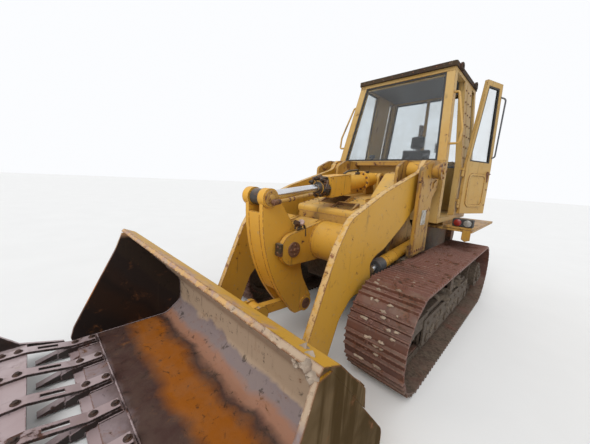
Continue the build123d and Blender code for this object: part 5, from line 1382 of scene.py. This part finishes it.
@dataclass
class TiltCylinder:
    """Flange bolts, oily gland, guard box trim and fittings of the tilt cylinder."""

    shop: Paintshop
    rear: tuple[float, float] = (1.050, 1.680)
    front: tuple[float, float] = (-0.790, 1.465)

    def build(self) -> None:
        """Makes the cylinder's trim."""
        start, end = spot(0.0, *self.rear), spot(0.0, *self.front)
        way = (end - start).normalized()
        out, rise = Vector((1, 0, 0)), way.cross(Vector((1, 0, 0)))
        if rise.z < 0:
            rise = -rise
        bolts, gland, trim, hoses = Maker(51), Maker(52), Maker(53), Maker(54)
        bolts.ring_of_bolts(start + way * 0.345, way, 0.095, 10, 0.009)
        bolts.ring_of_bolts(start + way * 0.300, -way, 0.095, 10, 0.009)
        gland.turned(start + way * 1.051, way, ((0.0, 0.088), (0.014, 0.092), (0.040, 0.092),
                                                (0.046, 0.078),
                                                (0.070, 0.078), (0.076, 0.066), (0.088, 0.056)), 36)
        for _ in range(60):
            angle = gland.dice.uniform(0, 2 * math.pi)
            place = start + way * gland.dice.uniform(1.052, 1.13)
            place += (out * math.cos(angle) + rise * math.sin(angle)) * gland.dice.uniform(0.070, 0.100)
            size = gland.dice.uniform(0.008, 0.024)
            gland.clod(place, (size, size * 1.5, size), 0.9)
        for side in (-1, 1):
            corner = start + way * 1.046 + out * side * 0.060
            gland.pipe([corner - rise * 0.050, corner + way * 0.060 - rise * 0.060 + out * side * 0.030,
                        corner + way * 0.070 + rise * 0.020 + out * side * 0.034, corner + rise * 0.075],
                        0.013, 0.03)
            gland.pipe([corner + rise * 0.088, corner + way * 0.050 + rise * 0.100,
                        corner + way * 0.052 - out *
                        side * 0.100 + rise * 0.100, corner - out * side * 0.110 + rise * 0.088], 0.012,
                        0.03)
        for side in (-1, 1):
            for distance in (0.730, 0.876, 1.022):
                for height in (-0.086, 0.086):
                    trim.bolt(start + way * distance + out * side * 0.104 + rise * height, out * side,
                              0.006)
            trim.bead([start + way * 0.703 + out * side * 0.104 + rise * 0.104,
                       start + way * 1.050 + out * side * 0.104 + rise * 0.104], 0.003)
        elbow = start + way * 0.400 + rise * 0.080
        hoses.turned(elbow - rise * 0.006, rise, ((0.0, 0.024), (0.030, 0.024), (0.034, 0.018)), 6)
        hoses.pipe([elbow + rise * 0.020, elbow + rise * 0.052, elbow + way * 0.22 + rise * 0.052,
                    elbow + way * 0.29 + rise * 0.022], 0.011, 0.03)
        for place in (0.180, 0.420):
            hoses.turned(start + way * place + rise * 0.083, rise, ((0.0, 0.020), (0.026, 0.020)), 6)
        bolts.piece("tilt_flange_bolts", "tilt_barrel", Look.PINS, "pin_steel", self.shop)
        gland.piece("tilt_gland", "tilt_barrel", Look.GLAND, "dark_metal", self.shop)
        trim.piece("guard_box_trim", "tilt_barrel", Look.CRANK, "yellow_paint", self.shop)
        hoses.piece("tilt_fittings", "tilt_barrel", Look.GLAND, "dark_metal", self.shop)


@dataclass
class Hood:
    """Louvred vents, filler, deck edges, fittings and rubbish on the front hood."""

    shop: Paintshop
    filler: tuple[float, float] = (0.290, 0.520)

    def surface(self, back: float) -> float:
        """Height of the hood's top at a distance behind the idler."""
        line = ((0.060, 1.345), (0.500, 1.434), (0.620, 1.452), (0.800, 1.463), (1.200, 1.490))
        for (low, low_height), (high, high_height) in zip(line, line[1:]):
            if back <= high:
                share = (back - low) / (high - low)
                return low_height + (high_height - low_height) * share
        return line[-1][1]

    def build(self) -> None:
        """Makes the vents, the filler's ring, bolts and fittings."""
        vents, frames, bolts, fittings, dirt = Maker(61), Maker(62), Maker(63), Maker(64), Maker(65)
        for middle, back, width, depth, rise in ((-0.070, 0.340, 0.330, 0.210, 0.036),
                                                 (0.185, 0.150, 0.260, 0.130, 0.030)):
            corners = [spot(middle + sx * width / 2, back + sy * depth / 2,
                            self.surface(back + sy * depth / 2) + (rise if sy > 0 else 0.0))
                       for sx, sy in ((-1, -1), (1, -1), (1, 1), (-1, 1))]
            frames.band(corners, Vector((0, 0, 0.008)), 0.024)
            for sx in (-1, 1):
                frames.plate([corners[0 if sx < 0 else 1], corners[3 if sx < 0 else 2],
                              spot(middle + sx * width / 2, back + depth / 2,
                                   self.surface(back + depth / 2) - 0.004)],
                             Vector((-sx * 0.004, 0, 0)), 0.001)
            frames.box(spot(middle, back + depth / 2, self.surface(back + depth / 2) + rise / 2 - 0.002),
                       (width, 0.004, rise + 0.004), chamfer=0.001)
            count = int(depth / 0.022)
            for slat in range(count):
                share = (slat + 0.5) / count
                where = back - depth / 2 + 0.020 + share * (depth - 0.040)
                tilt = Matrix.Rotation(math.radians(-24), 3, "X")
                vents.box(spot(middle, where, self.surface(where) + 0.002 + rise * share),
                          (width - 0.040, 0.015, 0.0035), tilt, 0.001)
        frames.plate([spot(-0.36, 0.060, 1.285), spot(0.36, 0.060, 1.285), spot(0.36, 0.035, 1.120),
                      spot(-0.36, 0.035, 1.120)], Vector((0, 0.006, 0)), 0.002)
        x, back = self.filler
        rim = spot(x, back, self.surface(back) - 0.004)
        up = Vector((0, -0.18, 1)).normalized()
        frames.band(frames.circle(rim, up, 0.078, 36), up * 0.012, 0.014)
        fittings.turned(spot(x, back, 1.302), Vector((0, 0, 1)),
                        ((0.0, 0.040), (0.050, 0.040), (0.058, 0.032)), 24)
        for side in (-1, 1):
            for number in range(7):
                where = 0.14 + number * 0.075
                bolts.bolt(spot(side * 0.362, where, self.surface(where)), Vector((0, -0.2, 1)), 0.007)
            for x, back, height in ((0.205, 1.04, 1.7575), (0.355, 1.04, 1.7575), (0.205, 1.16, 1.775),
                                    (0.355, 1.16, 1.775)):
                bolts.bolt(spot(side * x, back, height), Vector((0, -0.14, 1)), 0.008)
            frames.bead([spot(side * 0.385, 0.70, 1.490), spot(side * 0.385, 0.975, 1.735)], 0.004)
        for _ in range(60):
            x, where = dirt.dice.uniform(-0.36, 0.36), dirt.dice.uniform(0.10, 0.62)
            size = dirt.dice.uniform(0.003, 0.008)
            dirt.clod(spot(x, where, self.surface(where)), (size * 1.6, size * 1.3, size * 0.5), 0.9)
        vents.piece("hood_vent_slats", "chassis", Look.UNDER, "dark_metal", self.shop)
        frames.piece("hood_vent_frames", "chassis", Look.TOWER, "yellow_paint", self.shop)
        bolts.piece("hood_bolts", "chassis", Look.PINS, "pin_steel", self.shop)
        fittings.piece("hood_fittings", "chassis", Look.GLAND, "dark_metal", self.shop)
        dirt.piece("hood_dirt", "chassis", Look.MUD, "yellow_paint", self.shop, 80.0)


@dataclass
class Towers:
    """Pivot bolts, gussets, blank plates, welds and lamps at the arm towers and fenders."""

    shop: Paintshop
    face: float = 0.700

    def build(self) -> None:
        """Makes the towers' and fenders' pieces."""
        bolts, plates, lamps, lens, dark = Maker(71), Maker(72), Maker(73), Maker(74), Maker(75)
        blank = Maker(76)
        for side in (-1, 1):
            out = Vector((side, 0, 0))
            pivot = spot(side * 0.795, 1.065, 1.794)
            bolts.ring_of_bolts(pivot, out, 0.070, 4, 0.011)
            plates.turned(pivot, out, ((0.0, 0.034), (0.010, 0.034), (0.013, 0.028)), 24)
            plates.bead([spot(side * 0.700, 0.735, 0.95), spot(side * 0.700, 0.735, 1.76)], 0.004)
            plates.plate([spot(side * self.face, back, height) for back, height in
                          ((1.085, 1.600), (1.165, 1.640), (1.165, 1.700), (1.085, 1.660))],
                         Vector((side * 0.012, 0, 0)))
            blank.box(spot(side * 0.705, 0.905, 1.285), (0.008, 0.120, 0.160), chamfer=0.003)
            for dy, dz in ((-0.046, -0.066), (0.046, -0.066), (0.046, 0.066), (-0.046, 0.066)):
                bolts.bolt(spot(side * 0.709, 0.905 + dy, 1.285 + dz), out, 0.004)
            for number in range(5):
                bolts.bolt(spot(side * 0.700, 0.780 + number * 0.065, 0.925), out, 0.010)
            plates.box(spot(side * 0.900, 1.563, 1.146), (0.300, 0.030, 0.032), chamfer=0.004)
            plates.plate([spot(side * x, 1.556, height) for x, height in
                          ((0.960, 1.130), (1.050, 1.130), (1.050, 1.010), (1.000, 0.985), (0.960, 1.010))],
                         Vector((0, -0.010, 0)))
            dark.box(spot(side * 0.952, 1.575, 1.210), (0.215, 0.070, 0.098), chamfer=0.008)
            for x, maker in ((0.900, lens), (1.004, lamps)):
                maker.turned(spot(side * x, 1.541, 1.210), Vector((0, -1, 0)),
                             ((0.0, 0.041), (0.010, 0.041), (0.017, 0.030), (0.019, 0.012)), 24)
        bolts.piece("tower_bolts", "chassis", Look.PINS, "pin_steel", self.shop)
        plates.piece("tower_plates", "chassis", Look.TOWER, "yellow_paint", self.shop)
        blank.piece("blank_plates", "chassis", Look.PALE_PLATE, "dark_metal", self.shop)
        dark.piece("lamp_housings", "chassis", Look.SEAL, "dark_metal", self.shop)
        lens.piece("lamp_lenses_red", "chassis", Look.RED_LENS, "dark_metal", self.shop)
        lamps.piece("lamp_lenses_pale", "chassis", Look.PALE_LENS, "pane", self.shop)


@dataclass
class Cab:
    """Window seals, post bolts, door fittings and the inside of the cab."""

    shop: Paintshop
    sill: float = 1.930
    head: float = 2.995
    half_low: float = 0.735
    half_high: float = 0.632
    pane_low: float = 0.7035
    pane_high: float = 0.6005
    hinge: tuple[float, float] = (0.761, 2.040)
    door_open: float = 160.0
    door_lean: float = 0.10107
    edge_lean: float = 0.2404

    def half(self, height: float) -> float:
        """Half width of the cab at a height."""
        share = max(0.0, (height - self.sill) / (self.head - self.sill))
        return self.half_low + (self.half_high - self.half_low) * share

    def door(self, along: float, out: float, height: float) -> Vector:
        """Place on the open door: along its width, out of its face and up."""
        turn = math.radians(self.door_open)
        x = self.hinge[0] + along * math.sin(turn) + out * math.cos(turn)
        return Vector((x, IDLER_Y + self.hinge[1] - along * math.cos(turn) + out * math.sin(turn), height))

    def build(self) -> None:
        """Makes the seals, bolts, door fittings and cab interior."""
        self._seals()
        self._bolts()
        self._door()
        self._inside()

    def _seals(self) -> None:
        """Makes the black seals round the fixed panes and the rear window's post."""
        seals = Maker(81)
        low, high = 0.638, 0.535
        seals.band([spot(-low, 1.3135, self.sill), spot(low, 1.3135, self.sill),
                    spot(high, 1.5585, self.head),
                    spot(-high, 1.5585, self.head)], Vector((0, -0.009, 0.001)), 0.020)
        seals.band([spot(-low, 2.6185, self.sill), spot(low, 2.6185, self.sill),
                    spot(high, 2.6185, self.head),
                    spot(-high, 2.6185, self.head)], Vector((0, 0.008, 0)), 0.024)
        seals.band([spot(-self.pane_low, 1.397, self.sill), spot(-self.pane_low, 2.008, self.sill),
                    spot(-self.pane_high, 2.008, self.head), spot(-self.pane_high, 1.642, self.head)],
                    Vector((-0.007, 0, 0)), 0.022)
        for side in (-1, 1):
            seals.band([spot(side * self.pane_low, 2.402, self.sill),
                        spot(side * self.pane_low, 2.553, self.sill),
                        spot(side * self.pane_high, 2.553, self.head),
                        spot(side * self.pane_high, 2.402, self.head)],
                       Vector((side * 0.007, 0, 0)), 0.020)
        seals.piece("window_seals", "chassis", Look.SEAL, "dark_metal", self.shop)
        posts = Maker(82)
        posts.box(spot(0.0, 2.600, 2.4625), (0.045, 0.018, 1.060), chamfer=0.004)
        posts.box(spot(0.0, 1.573, 2.972), (1.050, 0.020, 0.040), chamfer=0.005)
        posts.piece("rear_window_post", "chassis", Look.CAB, "yellow_paint", self.shop)

    def _bolts(self) -> None:
        """Makes the bolts of the roll-over posts, the roof rim, the hinges and the sill."""
        bolts, seams = Maker(83), Maker(84)
        for side in (-1, 1):
            lean = Vector((side, 0, 0.097)).normalized()
            for row in (2.075, 2.205, 2.335):
                for step in range(7):
                    height = 2.03 + step * 0.145
                    bolts.bolt(spot(side * self.half(height), row, height), lean, 0.009)
            seams.bead([spot(side * (self.half(z) + 0.0005), 2.140, z) for z in (1.940, 2.985)], 0.003)
            for height in (1.45, 1.70):
                bolts.bolt(spot(side * 0.735, 2.44, height), Vector((side, 0, 0)), 0.008)
            for number in range(6):
                where = 1.60 + number * 0.19
                bolts.bolt(spot(side * 0.644, where, 3.066), Vector((side, 0, 0)), 0.006)
        for number in range(9):
            bolts.bolt(spot(-0.60 + number * 0.15, 1.300, 1.905), Vector((0, -1, 0)), 0.007)
            bolts.bolt(spot(-0.56 + number * 0.14, 1.515, 3.066), Vector((0, -1, 0)), 0.006)
        seams.bead([spot(-0.632, 1.544, 2.997), spot(0.632, 1.544, 2.997)], 0.003)
        bolts.piece("cab_bolts", "chassis", Look.PINS, "pin_steel", self.shop)
        seams.piece("cab_seams", "chassis", Look.CAB, "yellow_paint", self.shop)

    def _door(self) -> None:
        """Makes the open door's seal, lock, lever, bar and edge bolts."""
        seal, metal, bar = Maker(85), Maker(86), Maker(87)
        corners = []
        for along, height in ((0.072, 1.990), (0.530, 1.990), (0.530, 2.915), (0.072, 2.915)):
            share = (height - 1.930) / 1.045
            lean_in = self.edge_lean * share if along > 0.3 else 0.0
            corners.append((along - lean_in, self.door_lean * share, height))
        for face in (-1, 1):
            outline = [self.door(along, face * 0.0045 - lean, height) for along, lean, height in corners]
            turn = math.radians(self.door_open)
            out = Vector((math.cos(turn), math.sin(turn), 0)) * face
            seal.band(outline, out * 0.012, 0.016)
            metal.box(self.door(0.520, face * 0.024, 1.800), (0.030, 0.030, 0.150), chamfer=0.005)
            metal.tube([self.door(0.520, face * 0.036, 1.850), self.door(0.520, face * 0.060, 1.840),
                        self.door(0.430, face * 0.062, 1.835)], 0.008)
        bar.pipe([self.door(0.535, -0.018, 2.060), self.door(0.540, -0.070, 2.075),
                  self.door(0.400, -0.155, 2.800),
                  self.door(0.380, -0.100, 2.830)], 0.010, 0.05)
        for height in (1.40, 1.62, 1.84):
            metal.bolt(self.door(0.560, -0.020, height), self.door(0, -1, 0) - self.door(0, 0, 0), 0.008)
        seal.piece("door_seal", "left_door", Look.SEAL, "dark_metal", self.shop)
        metal.piece("door_lock", "left_door", Look.PINS, "dark_metal", self.shop)
        bar.piece("door_bar", "left_door", Look.TRIM, "dark_metal", self.shop)

    def _inside(self) -> None:
        """Makes the dash, its dials, the pedals, lever boots, arm rests and the roof lining."""
        dash, dark = Maker(88), Maker(89)
        dash.plate([spot(-0.30, 1.360, 1.640), spot(-0.30, 1.500, 1.640), spot(-0.30, 1.470, 1.880),
                    spot(-0.30, 1.380, 1.900)], Vector((0.60, 0, 0)), 0.012)
        dash.box(spot(0, 2.10, 3.020), (1.100, 0.900, 0.030), chamfer=0.010)
        for number in range(4):
            dark.turned(spot(-0.195 + number * 0.13, 1.485, 1.800), Vector((0, 1, 0.12)),
                        ((0.0, 0.034), (0.008, 0.034), (0.010, 0.028)), 24)
        for x in (-0.16, 0.16):
            tilt = Matrix.Rotation(math.radians(35), 3, "X")
            dark.box(spot(x, 1.46, 1.330), (0.110, 0.200, 0.014), tilt, 0.004)
            dark.tube([spot(x, 1.50, 1.250), spot(x, 1.48, 1.320)], 0.012)
        for side in (-1, 1):
            dark.turned(spot(side * 0.390, 1.722, 1.806), Vector((0, -0.316, 0.949)),
                        ((0.0, 0.046), (0.014, 0.036), (0.022, 0.040), (0.036, 0.028), (0.044, 0.031),
                         (0.062, 0.018)),
                        20)
            dash.box(spot(side * 0.390, 2.130, 1.826), (0.140, 0.300, 0.034), chamfer=0.012)
        dash.piece("cab_dash_trim", "chassis", Look.TRIM, "dark_metal", self.shop)
        dark.piece("cab_controls", "chassis", Look.SEAL, "dark_metal", self.shop)


@dataclass
class Seat:
    """Padded cushions of the operator's seat."""

    shop: Paintshop
    voxel: float = 0.006
    pressure: float = 4.0
    frames: int = 20
    cap: float = 0.014

    def build(self) -> None:
        """Makes the base, back and headrest cushions and their stays."""
        base = ((1.812, 1.562), (2.268, 1.562), (2.268, 1.655), (1.812, 1.655))
        rest = ((2.222, 1.684), (2.310, 1.684), (2.388, 2.190), (2.310, 2.190))
        head = ((2.318, 2.214), (2.386, 2.214), (2.402, 2.396), (2.340, 2.396))
        for name, outline, half, grooves in (("seat_base_cushion", base, 0.238, (-0.11, 0.11)),
                                             ("seat_back_cushion", rest, 0.223, (-0.10, 0.10)),
                                             ("seat_headrest", head, 0.108, ())):
            piece = self._cushion(name, outline, half, grooves)
            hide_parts("seat_cushions")
        stays = Maker(91)
        for side in (-1, 1):
            stays.tube([spot(side * 0.045, 2.345, 2.170), spot(side * 0.045, 2.352, 2.240)], 0.007)
            stays.pipe([spot(side * 0.262, 1.95, 1.600), spot(side * 0.262, 2.30, 1.600),
                        spot(side * 0.262, 2.345, 1.820)], 0.013)
        stays.piece("seat_stays", "chassis", Look.SEAL, "dark_metal", self.shop)

    def _cushion(self, name: str, outline: Sequence[tuple[float, float]], half: float,
                 grooves: Sequence[float]) -> bpy.types.Object:
        """Makes one cushion: a rounded form, blown up as cloth, then stitched.

        Args:
            name: The piece's name.
            outline: Its side view as (back, height).
            half: Half its width.
            grooves: X of its sewn channels.

        Returns:
            The cushion.
        """
        form = Maker(92)
        form.plate([spot(-half, back, height) for back, height in outline], Vector((2 * half, 0, 0)), 0.022)
        piece = form.piece(name, "chassis", Look.CLOTH, "seat_cloth", self.shop, 80.0)
        remesh = piece.modifiers.new("skin", "REMESH")
        remesh.mode = "VOXEL"
        remesh.voxel_size = self.voxel
        self._apply(piece)
        before = [vert.co.copy() for vert in piece.data.vertices]
        cloth = piece.modifiers.new("cloth", "CLOTH")
        cloth.settings.use_pressure = True
        cloth.settings.uniform_pressure_force = self.pressure
        cloth.settings.effector_weights.gravity = 0.0
        cloth.settings.quality = 5
        cloth.point_cache.frame_end = self.frames
        for number in range(1, self.frames + 1):
            bpy.context.scene.frame_set(number)
        self._apply(piece)
        bpy.context.scene.frame_set(1)
        for vert, start in zip(piece.data.vertices, before):
            move = vert.co - start
            if move.length > self.cap:
                vert.co = start + move * (self.cap / move.length)
        smooth = piece.modifiers.new("soft", "SUBSURF")
        smooth.levels = 1
        self._apply(piece)
        low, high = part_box("seat_cushions")
        normals = [vert.normal.copy() for vert in piece.data.vertices]
        for vert, normal in zip(piece.data.vertices, normals):
            sunk = sum(math.exp(-((vert.co.x - groove) / 0.006) ** 2) for groove in grooves) * 0.010
            sunk += 0.0025 * max(0.0, noise.noise(vert.co * 16.0))
            vert.co -= normal * sunk
            for axis in range(3):
                vert.co[axis] = min(max(vert.co[axis], low[axis]), high[axis])
        for face in piece.data.polygons:
            face.use_smooth = True
        return piece

    @staticmethod
    def _apply(piece: bpy.types.Object) -> None:
        """Replaces a piece's mesh by its modified form and drops the modifiers."""
        shown = piece.evaluated_get(bpy.context.evaluated_depsgraph_get())
        made = bpy.data.meshes.new_from_object(shown)
        piece.modifiers.clear()
        old, piece.data = piece.data, made
        made.name = old.name


@dataclass
class EngineEnd:
    """Louvres, latches, radiator fins, stack cap and tank fittings of the engine end."""

    shop: Paintshop
    face: float = 0.5003

    def build(self) -> None:
        """Makes the pieces of the doors, the hood, the grille and the tank."""
        for side, name in ((1, "left"), (-1, "right")):
            self._door(side, name)
        self._hood()
        self._rear()

    def _door(self, side: int, name: str) -> None:
        """Makes one engine door's louvres, latches and edge bolts."""
        louvres, latches = Maker(101), Maker(102)
        for column in (2.880, 3.200):
            for row in range(9):
                height = 1.40 + row * 0.060
                outline = [spot(side * self.face, column - 0.120, height + dz) for dz in (0.0, 0.030)]
                tip = spot(side * (self.face + 0.014), column - 0.116, height + 0.004)
                ends = [[outline[0], tip, outline[1]],
                        [point + Vector((0, 0.240 if point is not tip else 0.232, 0)) for point in
                         (outline[0], tip, outline[1])]]
                louvres.skin(ends)
        for back in (2.78, 3.30):
            latches.box(spot(side * (self.face + 0.005), back, 1.26), (0.012, 0.050, 0.070), chamfer=0.004)
            latches.turned(spot(side * (self.face + 0.010), back, 1.26), Vector((side, 0, 0)),
                           ((0.0, 0.014), (0.012, 0.014), (0.014, 0.010)), 12)
        for number in range(6):
            latches.bolt(spot(side * self.face, 2.740 + number * 0.125, 1.985), Vector((side, 0, 0)), 0.006)
        louvres.piece(f"engine_louvres_{name}", f"engine_door_{name}", Look.HOOD, "yellow_paint", self.shop)
        latches.piece(f"engine_latches_{name}", f"engine_door_{name}", Look.PINS, "pin_steel", self.shop)

    def _hood(self) -> None:
        """Makes the stack's rain cap and shield, the cleaner's bands and the hood's bolts."""
        stack, bolts = Maker(103), Maker(104)
        base = spot(-0.180, 2.950, 2.030)
        up = Vector((0, 0, 1))
        stack.turned(base + up * 0.120, up, ((0.0, 0.056), (0.004, 0.060), (0.300, 0.060), (0.304, 0.056)),
                     28)
        stack.turned(base + up * 0.640, Vector((0.15, 0.35, 1)),
                     ((0.0, 0.052), (0.004, 0.054), (0.006, 0.040)), 28)
        stack.box(base + Vector((0, 0.052, 0.640)), (0.030, 0.018, 0.030))
        cleaner = spot(0.190, 2.950, 2.030)
        for height in (0.185, 0.300):
            stack.turned(cleaner + up * height, up, ((0.0, 0.1065), (0.016, 0.1065)), 32)
        stack.turned(cleaner + up * 0.330, up, ((-0.002, 0.100), (0.012, 0.084), (0.020, 0.050),
                                                (0.024, 0.016)), 32)
        for side in (-1, 1):
            for number in range(7):
                bolts.bolt(spot(side * 0.440, 2.720 + number * 0.105, 2.030), up, 0.008)
        bolts.ring_of_bolts(base + up * 0.060, up, 0.060, 6, 0.006)
        stack.piece("stack_trim", "chassis", Look.STACK, "dark_metal", self.shop)
        bolts.piece("hood_top_bolts", "chassis", Look.PINS, "pin_steel", self.shop)

    def _rear(self) -> None:
        """Makes the radiator's fins, the grille's catch, the tank's cap and bolts, and the reflectors."""
        fins, catch, tank, lens = Maker(105), Maker(106), Maker(107), Maker(108)
        for number in range(46):
            fins.box(spot(-0.396 + number * 0.0176, 3.3825, 1.480), (0.003, 0.006, 0.720), chamfer=0.0008)
        for height in (1.20, 1.40, 1.60, 1.80):
            fins.box(spot(0.0, 3.3835, height), (0.800, 0.007, 0.008), chamfer=0.001)
        catch.box(spot(0.445, 3.454, 1.560), (0.030, 0.010, 0.110), chamfer=0.003)
        for height in (1.20, 1.96):
            for x in (-0.43, -0.2, 0.0, 0.2, 0.43):
                catch.bolt(spot(x, 3.4503, height - 0.015), Vector((0, 1, 0)), 0.006)
        tank.turned(spot(0.330, 3.345, 1.100), Vector((0, 0, 1)),
                    ((-0.004, 0.040), (0.012, 0.040), (0.018, 0.034)), 24)
        for side in (-1, 1):
            tank.bolt(spot(side * 0.40, 3.440, 1.03), Vector((0, 1, 0)), 0.010)
            tank.bolt(spot(side * 0.40, 3.440, 0.83), Vector((0, 1, 0)), 0.010)
            tank.box(spot(side * 0.320, 3.445, 0.950), (0.130, 0.010, 0.070), chamfer=0.003)
            lens.turned(spot(side * 0.320, 3.449, 0.950), Vector((0, 1, 0)),
                        ((0.0, 0.028), (0.006, 0.026), (0.010, 0.016)),
                        20)
        fins.piece("radiator_fins", "chassis", Look.CORE, "core_metal", self.shop)
        catch.piece("grille_catch", "rear_grille", Look.PINS, "pin_steel", self.shop)
        tank.piece("tank_trim", "chassis", Look.UNDER, "frame_steel", self.shop)
        lens.piece("rear_reflectors", "chassis", Look.RED_LENS, "dark_metal", self.shop)


def main() -> None:
    """Builds the scene, one sub-assembly after another."""
    logging.basicConfig(level=logging.INFO, format="%(message)s")
    Studio().build()
    shop = Paintshop()
    shop.coat_all()
    for side, name in ((1, "left"), (-1, "right")):
        Track(shop, side, name).build()
    for assembly in (Undercarriage(shop), Bucket(shop), Linkage(shop), Arms(shop), TiltCylinder(shop),
                     Hood(shop),
                     Towers(shop), Cab(shop), Seat(shop), EngineEnd(shop)):
        assembly.build()
        log.info("%s done", type(assembly).__name__)


if __name__ == "__main__":
    main()
